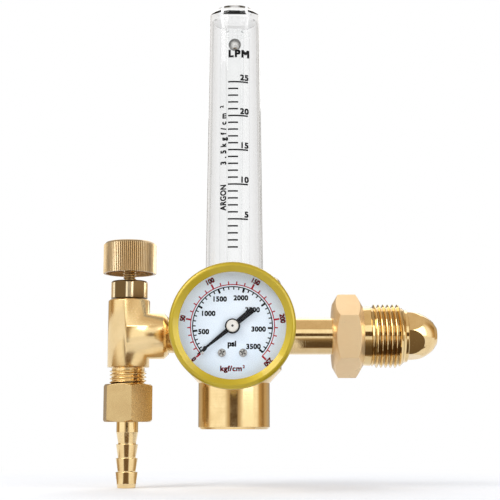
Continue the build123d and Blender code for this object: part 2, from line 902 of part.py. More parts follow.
# Packing nut: screwed into the gland, its corners turned off
with BuildPart() as packing_nut:
    with BuildSketch(level(valve_x, packing_nut_bottom)):
        RegularPolygon(packing_nut_flats / 2, 6, major_radius=False, rotation=packing_nut_turn)
    extrude(amount=packing_nut_top - packing_nut_bottom)
    with BuildSketch(upright(valve_x)):
        with BuildLine():
            Polyline(
                (0, packing_nut_bottom),
                (packing_nut_round, packing_nut_bottom),
                (packing_nut_round, packing_nut_top - packing_nut_chamfer),
                (packing_nut_round - packing_nut_chamfer, packing_nut_top),
                (0, packing_nut_top),
                close=True,
            )
        make_face()
    revolve(axis=valve_axis, mode=Mode.INTERSECT)
    packing_top = gland_depth + packing_height
    with BuildSketch(level(valve_x, packing_top)):
        Circle(gland_radius)
    extrude(amount=packing_nut_bottom - packing_top)
    with BuildSketch(level(valve_x, packing_top)):
        Circle(stem_radius + run_gap)
    extrude(amount=packing_nut_top - packing_top, mode=Mode.SUBTRACT)
save(packing_nut.part, "packing_nut")

with BuildPart() as packing_ring:
    with BuildSketch(level(valve_x, gland_depth)):
        Circle(gland_radius)
        Circle(stem_radius + run_gap, mode=Mode.SUBTRACT)
    extrude(amount=packing_height)
save(packing_ring.part, "packing_ring")

# Valve stem, with the needle held in a socket in its lower end
stem_top = knob_top - knob_screw_head - face_gap
needle_socket_top = stem_bottom + needle_head_length
with BuildPart() as valve_stem:
    with BuildSketch(level(valve_x, stem_bottom)):
        Circle(stem_radius)
    extrude(amount=stem_top - stem_bottom)
    with BuildSketch(level(valve_x, stem_bottom)):
        Circle(needle_radius + run_gap)
    extrude(amount=needle_head_length, mode=Mode.SUBTRACT)
    with BuildSketch(level(valve_x, stem_top)):
        Circle(knob_screw_radius / 2 + seat_gap)
    extrude(amount=-knob_screw_length - knob_screw_room, mode=Mode.SUBTRACT)
save(valve_stem.part, "valve_stem")

with BuildPart() as needle:
    with BuildSketch(upright(valve_x)):
        with BuildLine():
            Polyline(
                (0, needle_tip),
                (needle_tip_radius, needle_tip),
                (needle_radius, valve_seat_height + seat_gap),
                (needle_radius, needle_socket_top - run_gap),
                (0, needle_socket_top - run_gap),
                close=True,
            )
        make_face()
    revolve(axis=valve_axis)
save(needle.part, "needle")

# Knob: ribbed all round, hollow underneath so that it can come down over the packing nut
rib_step = 360 / knob_ribs
rib_outline = []
for rib in range(knob_ribs):
    rib_outline.append(polar(knob_radius, rib * rib_step))
    rib_outline.append(polar(knob_radius - knob_rib_depth, (rib + 0.5) * rib_step))
with BuildPart() as valve_knob:
    with BuildSketch(level(valve_x, knob_bottom)):
        with BuildLine():
            Polyline(*rib_outline, close=True)
        make_face()
    extrude(amount=knob_top - knob_bottom)
    with BuildSketch(upright(valve_x)):
        with BuildLine():
            Polyline(
                (0, knob_bottom),
                (knob_radius, knob_bottom),
                (knob_radius, knob_top - knob_edge),
                (knob_radius - knob_edge, knob_top),
                (0, knob_top),
                close=True,
            )
        make_face()
    revolve(axis=valve_axis, mode=Mode.INTERSECT)
    with BuildSketch(level(valve_x, knob_bottom)):
        Circle(knob_radius - knob_rim)
        Circle(knob_boss_radius, mode=Mode.SUBTRACT)
    extrude(amount=knob_cup_depth, mode=Mode.SUBTRACT)
    with BuildSketch(level(valve_x, knob_bottom)):
        Circle(knob_boss_radius)
    extrude(amount=knob_boss_setback, mode=Mode.SUBTRACT)
    with BuildSketch(level(valve_x, knob_bottom)):
        Circle(stem_radius + seat_gap)
    extrude(amount=stem_top - knob_bottom, mode=Mode.SUBTRACT)
    with BuildSketch(level(valve_x, stem_top)):
        Circle(knob_screw_radius + air)
    extrude(amount=knob_top - stem_top, mode=Mode.SUBTRACT)
save(valve_knob.part, "valve_knob")

with BuildPart() as knob_screw:
    with BuildSketch(level(valve_x, stem_top)):
        Circle(knob_screw_radius)
    extrude(amount=knob_screw_head)
    with BuildSketch(level(valve_x, stem_top)):
        Circle(knob_screw_radius / 2)
    extrude(amount=-knob_screw_length)
    with BuildSketch(level(valve_x, stem_top + knob_screw_head)):
        Rectangle(knob_cross, knob_cross_width)
        Rectangle(knob_cross_width, knob_cross)
    extrude(amount=-knob_cross_width, mode=Mode.SUBTRACT)
save(knob_screw.part, "knob_screw")

# Outlet nut: draws the hose barb's head against the end of the spigot
nut_chamfer_radius = outlet_nut_flats / 2
outlet_corner = nut_chamfer_radius * hex_ratio
outlet_chamfer = (outlet_corner - nut_chamfer_radius) * tan(radians(30))
lip_top = outlet_nut_bottom + outlet_nut_lip
with BuildPart() as outlet_nut:
    with BuildSketch(level(valve_x, outlet_nut_bottom)):
        RegularPolygon(outlet_nut_flats / 2, 6, major_radius=False, rotation=outlet_nut_turn)
    extrude(amount=outlet_nut_top - outlet_nut_bottom)
    with BuildSketch(upright(valve_x)):
        with BuildLine():
            Polyline(
                (0, outlet_nut_bottom),
                (nut_chamfer_radius, outlet_nut_bottom),
                (outlet_corner, outlet_nut_bottom + outlet_chamfer),
                (outlet_corner, outlet_nut_top - outlet_chamfer),
                (nut_chamfer_radius, outlet_nut_top),
                (0, outlet_nut_top),
                close=True,
            )
        make_face()
    revolve(axis=valve_axis, mode=Mode.INTERSECT)
    with BuildSketch(level(valve_x, lip_top)):
        Circle(outlet_thread_radius + seat_gap)
    extrude(amount=outlet_nut_top - lip_top, mode=Mode.SUBTRACT)
    with BuildSketch(level(valve_x, outlet_nut_bottom)):
        Circle(barb_radius + seat_gap)
    extrude(amount=outlet_nut_lip, mode=Mode.SUBTRACT)
save(outlet_nut.part, "outlet_nut")

# Hose barb: a head inside the nut, a plain shank and rings that taper towards the tip
barb_outline = [
    (barb_bore_radius, outlet_spigot_end),
    (barb_head_radius, outlet_spigot_end),
    (barb_head_radius, lip_top),
    (barb_radius, lip_top),
    (barb_radius, barb_shank_bottom),
    (barb_root_radius, barb_top_ring + barb_fillet),
]
for ring in range(barb_rings):
    ring_top = barb_top_ring - ring * barb_pitch
    ring_bottom = ring_top - barb_pitch + barb_land if ring < barb_rings - 1 else barb_tip
    barb_outline.append((barb_root_radius, ring_top + barb_edge))
    barb_outline.append((barb_ring_radius, ring_top))
    barb_outline.append((barb_root_radius, ring_bottom))
barb_outline.append((barb_bore_radius, barb_tip))
with BuildPart() as hose_barb:
    with BuildSketch(upright(valve_x)):
        with BuildLine():
            Polyline(*barb_outline, close=True)
        make_face()
    revolve(axis=valve_axis)
save(hose_barb.part, "hose_barb")

# Gauge case: a drawn cup with a hole for the socket
lens_front = gauge_front - bezel_lip
lens_back = lens_front - lens_thickness
with BuildPart() as gauge_case:
    with BuildSketch(gauge_section):
        with BuildLine():
            Polyline(
                (gauge_back, socket_pad),
                (gauge_back, case_radius),
                (lens_back, case_radius),
                (lens_back, case_radius - case_wall),
                (gauge_back + case_wall, case_radius - case_wall),
                (gauge_back + case_wall, socket_pad),
                close=True,
            )
        make_face()
    revolve(axis=gauge_axis)
save(gauge_case.part, "gauge_case")

# Bezel: a spun ring that holds the lens on the case
with BuildPart() as gauge_bezel:
    with BuildSketch(gauge_section):
        with BuildLine():
            skirt = Polyline(
                (lens_front, bezel_window),
                (lens_front, case_radius + seat_gap),
                (gauge_front - bezel_skirt, case_radius + seat_gap),
                (gauge_front - bezel_skirt, case_radius + bezel_wall / 2),
                (gauge_front - bezel_skirt + bezel_swell, bezel_radius),
                (gauge_front - bezel_round, bezel_radius),
            )
            rim_centre = (gauge_front - bezel_round, bezel_radius - bezel_round)
            rim = CenterArc(rim_centre, bezel_round, 90, -90)
            Polyline(rim @ 1, (gauge_front - bezel_dish, bezel_window), skirt @ 0)
        make_face()
    revolve(axis=gauge_axis)
save(gauge_bezel.part, "gauge_bezel")

with BuildPart() as gauge_lens:
    with BuildSketch(facing(lens_back)):
        Circle(case_radius)
    extrude(amount=lens_thickness)
save(gauge_lens.part, "gauge_lens")

# Dial plate, its screws, posts and the pointer's stop pin
dial_front = lens_back - dial_setback
dial_back = dial_front - dial_thickness
with BuildPart() as dial_plate:
    with BuildSketch(facing(dial_back)):
        Circle(case_radius - case_wall - dial_edge_gap)
        Circle(dial_hole_radius, mode=Mode.SUBTRACT)
        with Locations((0, dial_screw_height)):
            with GridLocations(dial_screw_spacing, 0, 2, 1):
                Circle(dial_screw_shank + seat_gap, mode=Mode.SUBTRACT)
        with Locations(polar(stop_pin_distance, stop_pin_angle)):
            Circle(stop_pin_radius, mode=Mode.SUBTRACT)
    extrude(amount=dial_thickness)
save(dial_plate.part, "dial_plate")

movement_front = dial_back - dial_post_length
with BuildPart() as dial_posts:
    with BuildSketch(facing(movement_front)):
        with Locations((0, dial_screw_height)):
            with GridLocations(dial_screw_spacing, 0, 2, 1):
                Circle(dial_post_radius)
    extrude(amount=dial_back - movement_front)
    with BuildSketch(facing(dial_back)):
        with Locations((0, dial_screw_height)):
            with GridLocations(dial_screw_spacing, 0, 2, 1):
                Circle(dial_screw_shank + seat_gap)
    extrude(amount=-dial_screw_length, mode=Mode.SUBTRACT)
save(dial_posts.part, "dial_posts")

with BuildPart() as dial_screws:
    with BuildSketch(facing(dial_front)):
        with Locations((0, dial_screw_height)):
            with GridLocations(dial_screw_spacing, 0, 2, 1):
                Circle(dial_screw_radius)
    extrude(amount=dial_screw_head)
    with BuildSketch(facing(dial_front)):
        with Locations((0, dial_screw_height)):
            with GridLocations(dial_screw_spacing, 0, 2, 1):
                Circle(dial_screw_shank)
    extrude(amount=-dial_screw_length)
save(dial_screws.part, "dial_screws")

with BuildPart() as stop_pin:
    with BuildSketch(facing(dial_back)):
        with Locations(polar(stop_pin_distance, stop_pin_angle)):
            Circle(stop_pin_radius)
    extrude(amount=dial_thickness + stop_pin_height)
save(stop_pin.part, "stop_pin")


def end_angle(width):
    """How far round the Bourdon tube's end the middle of a block of that width stands."""
    return degrees(asin((width / 2 + seat_gap / 2) / (bourdon_radius - bourdon_depth / 2)))


# Gauge socket: screwed into the body, square outside the case and a block inside it
block_front = movement_front - plate_spacing - 2 * plate_thickness
with BuildPart() as gauge_socket:
    with BuildSketch(gauge_section):
        with BuildLine():
            Polyline(
                (bore_end, 0),
                (bore_end, socket_spigot_radius),
                (spot_face, socket_spigot_radius),
                (spot_face, socket_collar_radius),
                (spot_face + socket_collar_length, socket_collar_radius),
                (spot_face + socket_collar_length, socket_pad - seat_gap),
                (block_front, socket_pad - seat_gap),
                (block_front, 0),
                close=True,
            )
        make_face()
    revolve(axis=gauge_axis)
    with BuildSketch(facing(spot_face + socket_collar_length)):
        Rectangle(socket_square, socket_square)
        Circle(socket_pad - seat_gap, mode=Mode.SUBTRACT)
    extrude(amount=gauge_back - spot_face - socket_collar_length)
    with BuildSketch(facing(gauge_back + case_wall)):
        Circle(socket_pad + socket_flange)
        Circle(socket_pad - seat_gap, mode=Mode.SUBTRACT)
    extrude(amount=block_front - gauge_back - case_wall)
    holder_angle = bourdon_start + end_angle(holder_width)
    holder_start = socket_pad + holder_lip
    holder_length = bourdon_radius + holder_margin - holder_start
    holder_middle = holder_start + holder_length / 2
    with BuildSketch(facing(gauge_back + case_wall)):
        with Locations(Location(polar(holder_middle, holder_angle), holder_angle)):
            Rectangle(holder_length, holder_width)
    extrude(amount=block_front - gauge_back - case_wall)
    tube_back = block_front + holder_lip
    with BuildSketch(facing(block_front)):
        with Locations(Location(polar(bourdon_radius, holder_angle), holder_angle)):
            Rectangle(2 * holder_margin, holder_width)
    extrude(amount=bourdon_width + 2 * holder_lip)
    with BuildSketch(facing(bore_end)):
        Circle(socket_bore_radius)
    extrude(amount=gauge_back + socket_flange - bore_end, mode=Mode.SUBTRACT)
save(gauge_socket.part, "gauge_socket")


def tooth_flank(teeth, addendum, dedendum):
    """One side of a gear tooth as (radius, half angle in degrees) pairs, from its root to its tip."""
    pitch = gear_module * teeth / 2
    base = pitch * cos(radians(pressure_angle))
    outer = pitch + addendum * gear_module
    root = pitch - dedendum * gear_module
    involute_at_pitch = tan(radians(pressure_angle)) - radians(pressure_angle)
    half_at_pitch = pi / 2 / teeth - gear_backlash / 2 / pitch
    flank = []
    start = max(base, root)
    for step in range(4):
        radius = start + (outer - start) * step / 3
        turn = acos(min(1, base / radius))
        half = half_at_pitch + involute_at_pitch - (tan(turn) - turn)
        flank.append((radius, degrees(half)))
    if root < start:
        flank.insert(0, (root, flank[0][1]))
    return flank


def gear_outline(teeth, first, count, phase, addendum=0.7, dedendum=1.0):
    """The outline of count teeth, from number first on, as points about the gear's own centre."""
    flank = tooth_flank(teeth, addendum, dedendum)
    points = []
    for tooth in range(first, first + count):
        middle = phase + 360 * tooth / teeth
        points += [polar(radius, middle - half) for radius, half in flank]
        points += [polar(radius, middle + half) for radius, half in reversed(flank)]
    return points


# Pinion and pointer arbor, on the gauge's own axis. A tooth space faces the sector's pivot.
back_plate_front = block_front + plate_thickness
pinion_back = back_plate_front + pinion_lift
arbor_end = dial_front + arbor_stand
with BuildPart() as pinion_arbor:
    with BuildSketch(facing(block_front + seat_gap)):
        Circle(arbor_radius)
    extrude(amount=arbor_end - block_front - seat_gap)
    with BuildSketch(facing(pinion_back)):
        with BuildLine():
            Polyline(*gear_outline(pinion_teeth, 0, pinion_teeth, -90 + 180 / pinion_teeth), close=True)
        make_face()
    extrude(amount=pinion_width)
save(pinion_arbor.part, "pinion_arbor")

# Sector gear: a toothed blade and a short arm below its pivot that the link pulls
sector_back = pinion_back + sector_lift
sector_first = -sector_cut_teeth + 3
sector_points = gear_outline(sector_teeth, sector_first, sector_cut_teeth, 90)
with BuildPart() as sector_gear:
    with BuildSketch(facing(sector_back)):
        with Locations((0, -gear_distance)):
            Circle(sector_hub_radius)
        with BuildLine():
            shifted = [(x, y - gear_distance) for x, y in sector_points]
            Polyline((0, -gear_distance), *shifted, close=True)
        make_face()
        with BuildLine():
            arm_end = polar(arm_length + arm_half_width, arm_angle)
            side = polar(arm_half_width, arm_angle + 90)
            Polyline(
                (side[0], side[1] - gear_distance),
                (arm_end[0] + side[0], arm_end[1] + side[1] - gear_distance),
                (arm_end[0] - side[0], arm_end[1] - side[1] - gear_distance),
                (-side[0], -side[1] - gear_distance),
                close=True,
            )
        make_face()
        arm_pin = polar(arm_length, arm_angle)
        with Locations((arm_pin[0], arm_pin[1] - gear_distance)):
            Circle(link_pin_radius + run_gap, mode=Mode.SUBTRACT)
    extrude(amount=sector_thickness)
    with BuildSketch(facing(block_front + seat_gap)):
        with Locations((0, -gear_distance)):
            Circle(arbor_radius)
    extrude(amount=movement_front - block_front - seat_gap)
save(sector_gear.part, "sector_gear")


def plate_sketch():
    """The movement plates' outline, with the arbors' two holes."""
    with BuildSketch() as outline:
        with Locations((0, (plate_above_arbor + plate_bottom) / 2)):
            Rectangle(plate_width, plate_above_arbor - plate_bottom)
        Circle(arbor_radius + run_gap, mode=Mode.SUBTRACT)
        with Locations((0, -gear_distance)):
            Circle(arbor_radius + run_gap, mode=Mode.SUBTRACT)
    return outline.sketch


for plate_name, plate_back in (
    ("movement_back_plate", block_front),
    ("movement_front_plate", movement_front - plate_thickness),
):
    with BuildPart() as movement_plate:
        extrude(facing(plate_back) * plate_sketch(), amount=plate_thickness)
    save(movement_plate.part, plate_name)

pillar_x = plate_width / 2 - pillar_inset
pillar_top = plate_above_arbor - pillar_inset
pillar_spots = [(-pillar_x, pillar_top), (pillar_x, pillar_top), (-pillar_x, plate_bottom + pillar_inset)]
with BuildPart() as movement_pillars:
    with BuildSketch(facing(back_plate_front)):
        with Locations(*pillar_spots):
            Circle(pillar_radius)
    extrude(amount=plate_spacing)
save(movement_pillars.part, "movement_pillars")

# Bourdon tube: a flattened tube bent round the movement, fixed in the socket's block
with BuildPart() as bourdon_tube:
    with BuildSketch(Plane(origin=(body_x, 0, 0), x_dir=(0, -1, 0), z_dir=(-1, 0, 0))):
        with Locations((tube_back + bourdon_width / 2, bourdon_radius)):
            Polygon(
                (-bourdon_width / 2, 0),
                (-bourdon_width / 4, bourdon_depth / 2),
                (bourdon_width / 4, bourdon_depth / 2),
                (bourdon_width / 2, 0),
                (bourdon_width / 4, -bourdon_depth / 2),
                (-bourdon_width / 4, -bourdon_depth / 2),
                align=None,
            )
    revolve(axis=gauge_axis, revolution_arc=bourdon_start - bourdon_end)
bourdon_part = bourdon_tube.part.rotate(gauge_axis, bourdon_end - 90)
save(bourdon_part, "bourdon_tube")

# Tip block: closes the free end of the tube, with an ear under the link's far end
tip_angle = bourdon_end - end_angle(tip_width)
ear_front = sector_back + ear_rise
link_eye = polar(bourdon_radius - link_eye_inset, link_eye_angle)
with BuildPart() as bourdon_tip:
    with BuildSketch(facing(tube_back + tip_setback)):
        with Locations(Location(polar(bourdon_radius, tip_angle), tip_angle)):
            Rectangle(tip_depth, tip_width)
    extrude(amount=ear_front - tube_back - tip_setback)
    with BuildSketch(facing(ear_front - ear_thickness)):
        with BuildLine():
            Line(polar(bourdon_radius, tip_angle), link_eye)
        trace(line_width=link_width)
        with Locations(link_eye):
            Circle(link_width / 2)
    extrude(amount=ear_thickness)
save(bourdon_tip.part, "bourdon_tip")

# Link: its near pin turns in the sector's arm and its far pin stands just clear of the ear
link_back = sector_back + sector_thickness + face_gap
near_eye = (arm_pin[0], arm_pin[1] - gear_distance)
with BuildPart() as link:
    with BuildSketch(facing(link_back)):
        with BuildLine():
            Line(near_eye, link_eye)
        trace(line_width=link_width)
        with Locations(near_eye, link_eye):
            Circle(link_width / 2)
    extrude(amount=link_thickness)
    with BuildSketch(facing(link_back)):
        with Locations(near_eye):
            Circle(link_pin_radius)
    extrude(amount=-(sector_thickness + air))
    with BuildSketch(facing(link_back)):
        with Locations(link_eye):
            Circle(link_pin_radius)
    extrude(amount=-(link_back - ear_front - face_gap))
save(link.part, "link")

# Hairspring: a flat spiral that takes up the gears' play
spiral_points = hairspring_steps * hairspring_turns
spiral_start = arbor_radius + hairspring_gap


def spiral(extra):
    """Points along the hairspring's coils, set out by extra from the inner side."""
    return [
        polar(
            spiral_start + extra + hairspring_pitch * step / hairspring_steps,
            360 * step / hairspring_steps,
        )
        for step in range(spiral_points + 1)
    ]


with BuildPart() as hairspring:
    with BuildSketch(facing(back_plate_front + hairspring_gap)):
        with BuildLine():
            Polyline(*spiral(0), *reversed(spiral(hairspring_strip)), close=True)
        make_face()
    extrude(amount=hairspring_width)
save(hairspring.part, "hairspring")

# Pointer and its hub, pressed on the arbor
pointer_back = dial_front + pointer_lift
tail_radius = pointer_root_half + pointer_tip_half
blade_angle = Location((0, 0), pointer_rest_angle)
with BuildPart() as pointer:
    with BuildSketch(facing(pointer_back)):
        with Locations(blade_angle):
            Polygon(
                (-pointer_tail + tail_radius, -tail_radius),
                (0, -pointer_root_half),
                (pointer_length - pointer_waist_inset, -pointer_waist_half),
                (pointer_length, -pointer_tip_half),
                (pointer_length, pointer_tip_half),
                (pointer_length - pointer_waist_inset, pointer_waist_half),
                (0, pointer_root_half),
                (-pointer_tail + tail_radius, tail_radius),
                align=None,
            )
        Circle(pointer_boss_radius)
        with Locations(polar(pointer_length - pointer_blob_inset, pointer_rest_angle)):
            Circle(pointer_blob_radius)
        with Locations(polar(-pointer_tail + tail_radius, pointer_rest_angle)):
            Circle(tail_radius)
        Circle(hub_neck_radius + seat_gap, mode=Mode.SUBTRACT)
    extrude(amount=pointer_thickness)
save(pointer.part, "pointer")

pointer_front = pointer_back + pointer_thickness
hub_front = arbor_end + hub_edge
hub_back = dial_front + pointer_lift - hub_collar
with BuildPart() as pointer_hub:
    with BuildSketch(gauge_section):
        with BuildLine():
            Polyline(
                (hub_back, arbor_radius + seat_gap),
                (hub_back, hub_neck_radius + hub_collar),
                (pointer_back, hub_neck_radius + hub_collar),
                (pointer_back, hub_neck_radius),
                (pointer_front, hub_neck_radius),
                (pointer_front, hub_radius),
                (hub_front - hub_edge, hub_radius),
                (hub_front, hub_radius - hub_edge),
                (hub_front, 0),
                (arbor_end + seat_gap, 0),
                (arbor_end + seat_gap, arbor_radius + seat_gap),
                close=True,
            )
        make_face()
    revolve(axis=gauge_axis)
save(pointer_hub.part, "pointer_hub")
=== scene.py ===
from math import asin, ceil, cos, hypot, pi, radians, sin, tan

import bmesh
import bpy
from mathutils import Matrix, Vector


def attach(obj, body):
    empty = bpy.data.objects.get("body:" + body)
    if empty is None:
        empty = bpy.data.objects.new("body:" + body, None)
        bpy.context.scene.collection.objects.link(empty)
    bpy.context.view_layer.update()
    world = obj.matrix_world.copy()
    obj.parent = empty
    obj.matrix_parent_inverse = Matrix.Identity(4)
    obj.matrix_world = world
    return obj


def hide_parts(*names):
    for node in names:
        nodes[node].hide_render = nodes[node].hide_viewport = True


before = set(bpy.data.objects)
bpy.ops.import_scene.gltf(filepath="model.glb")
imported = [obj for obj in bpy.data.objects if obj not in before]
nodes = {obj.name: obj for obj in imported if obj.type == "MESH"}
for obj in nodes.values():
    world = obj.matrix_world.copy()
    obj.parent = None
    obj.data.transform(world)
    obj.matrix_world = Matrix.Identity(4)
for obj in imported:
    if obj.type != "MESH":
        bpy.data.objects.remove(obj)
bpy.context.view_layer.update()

# Lengths below are millimetres in the frame of the CAD: the inlet runs along X, the tube along Z
# and the gauge faces -Y. They become metres when a mesh is made. Angles are degrees.
MM = 0.001
X, Y, Z = 0, 1, 2
BODY_X = -58.0
VALVE_X = -98.9
RELIEF_Z = 10.0

scene = bpy.context.scene


# ---------------------------------------------------------------- materials

# sockets of a Mix node that mixes colours
MIX_FACTOR, MIX_A, MIX_B, MIX_RESULT = 0, 6, 7, 2
# most of a noise node's values lie between these
NOISE_LOW, NOISE_HIGH = 0.3, 0.7


def with_alpha(color):
    return color if isinstance(color, bpy.types.NodeSocket) else (*color, 1)


def by_axis(axis, along, across):
    """Three numbers, the first given for that axis and the other for the two across it."""
    return tuple(along if index == axis else across for index in range(3))


class Recipe:
    """The nodes of a material or a world that is being made."""

    def __init__(self, owner):
        owner.use_nodes = True
        self.owner = owner
        self.tree = owner.node_tree
        self.tree.nodes.clear()

    def add(self, kind, inputs=None, **settings):
        """A new node with its settings, and its inputs linked or set."""
        node = self.tree.nodes.new("ShaderNode" + kind)
        for key, value in settings.items():
            setattr(node, key, value)
        for key, value in (inputs or {}).items():
            if isinstance(value, bpy.types.NodeSocket):
                self.tree.links.new(value, node.inputs[key])
            else:
                node.inputs[key].default_value = value
        return node

    def math(self, operation, a, b=0.0, clamp=False):
        return self.add("Math", {0: a, 1: b}, operation=operation, use_clamp=clamp).outputs[0]

    def half_up(self, value):
        """A value from -1 to 1 brought to 0 to 1."""
        return self.math("ADD", self.math("MULTIPLY", value, 0.5), 0.5)

    def vector(self, operation, a, b=(0, 0, 0)):
        return self.add("VectorMath", {0: a, 1: b}, operation=operation)

    def parts(self, vector):
        """A vector's three numbers."""
        return self.add("SeparateXYZ", {0: vector}).outputs

    def place(self, origin=(0, 0, 0)):
        """Where the point lies on the object, in millimetres from that origin."""
        spot = self.add("TexCoord").outputs["Object"]
        scaled = self.add("VectorMath", {0: spot, "Scale": 1 / MM}, operation="SCALE").outputs[0]
        return self.vector("SUBTRACT", scaled, origin).outputs[0]

    def stretched(self, spot, axis, along, across):
        """The place scaled differently along an axis and across it."""
        return self.vector("MULTIPLY", spot, by_axis(axis, along, across)).outputs[0]

    def out_from(self, spot, axis):
        """How far the place lies out from an axis."""
        return self.vector("LENGTH", self.stretched(spot, axis, 0.0, 1.0)).outputs[1]

    def from_front(self, parts):
        """The angle of a direction from -Y, from 0 to pi to either side."""
        side = self.math("ABSOLUTE", parts[X])
        return self.math("ARCTAN2", side, self.math("MULTIPLY", parts[Y], -1.0))

    def noise(self, vector, scale, detail=2.0, roughness=0.5, distortion=0.0):
        inputs = {
            "Vector": vector, "Scale": scale, "Detail": detail,
            "Roughness": roughness, "Distortion": distortion,
        }
        return self.add("TexNoise", inputs).outputs[0]

    def line_noise(self, value, scale):
        inputs = {"W": value, "Scale": scale, "Detail": 3.0, "Roughness": 0.6}
        return self.add("TexNoise", inputs, noise_dimensions="1D").outputs[0]

    def ramp(self, factor, stops):
        """A colour ramp. Each stop is a position and a colour, or a grey as one number."""
        node = self.add("ValToRGB", {0: factor})
        elements = node.color_ramp.elements
        while len(elements) < len(stops):
            elements.new(0.5)
        for element, (position, color) in zip(elements, stops):
            element.position = position
            element.color = with_alpha(color if isinstance(color, tuple) else (color,) * 3)
        return node.outputs[0]

    def between(self, value, low, high, start=0.0, end=1.0, **settings):
        """A value that runs from low to high, made to run from start to end."""
        inputs = {0: value, 1: low, 2: high, 3: start, 4: end}
        return self.add("MapRange", inputs, **settings).outputs[0]

    def spread(self, noise, start, end):
        """A noise stretched to run from start to end."""
        return self.between(noise, NOISE_LOW, NOISE_HIGH, start, end)

    def mix(self, factor, a, b, blend="MIX"):
        """Two colours mixed, each of them a socket or three numbers."""
        inputs = {MIX_FACTOR: factor, MIX_A: with_alpha(a), MIX_B: with_alpha(b)}
        return self.add("Mix", inputs, data_type="RGBA", blend_type=blend).outputs[MIX_RESULT]

    def seen_aslant(self, stops):
        """A ramp from where the surface is seen straight on to where it is seen edge on."""
        return self.ramp(self.add("LayerWeight", {"Blend": 0.5}).outputs["Facing"], stops)

    def bump(self, height, distance, normal=None):
        inputs = {"Height": height, "Distance": distance, "Strength": 1.0}
        if normal is not None:
            inputs["Normal"] = normal
        return self.add("Bump", inputs).outputs[0]

    def principled(self, inputs):
        return self.add("BsdfPrincipled", inputs).outputs[0]

    def glow(self, color):
        return self.add("Emission", {"Color": color, "Strength": 1.0}).outputs[0]

    def backdrop(self, color, strength=1.0):
        return self.add("Background", {"Color": color, "Strength": strength}).outputs[0]

    def either(self, factor, first, second):
        """The first shader where the factor is 0, and the second where it is 1."""
        return self.add("MixShader", {0: factor, 1: first, 2: second}).outputs[0]

    def end(self, shader, output="OutputMaterial"):
        self.tree.links.new(shader, self.add(output).inputs[0])
        return self.owner


def new_material(name):
    return Recipe(bpy.data.materials.new(name))


PATCH_SCALE, SPECK_SCALE = 0.16, 1.9
GRAIN_ALONG, GRAIN_ACROSS = 0.35, 7.0
MARK_SHADE = 0.22
PATCH_SHADE = 3.2
WORN_EDGE = [(0.90, 0.55), (0.995, 0.0)]
# the next ramp paints slots dark as painted shade; the dark colour after it is both a real dark
# centre mark and that painted shade
SLOT_SHADE = [(0.45, 1.0), (0.85, 0.0)]
PIP_AND_SHADE_DARK = (0.05, 0.045, 0.04)
GROOVE_SHADE = 0.35
POLISHED_SHARE, POLISH_FADE = 0.35, 0.6
COAT_ROUGHNESS = 0.06
SHADER_SAMPLES = 6


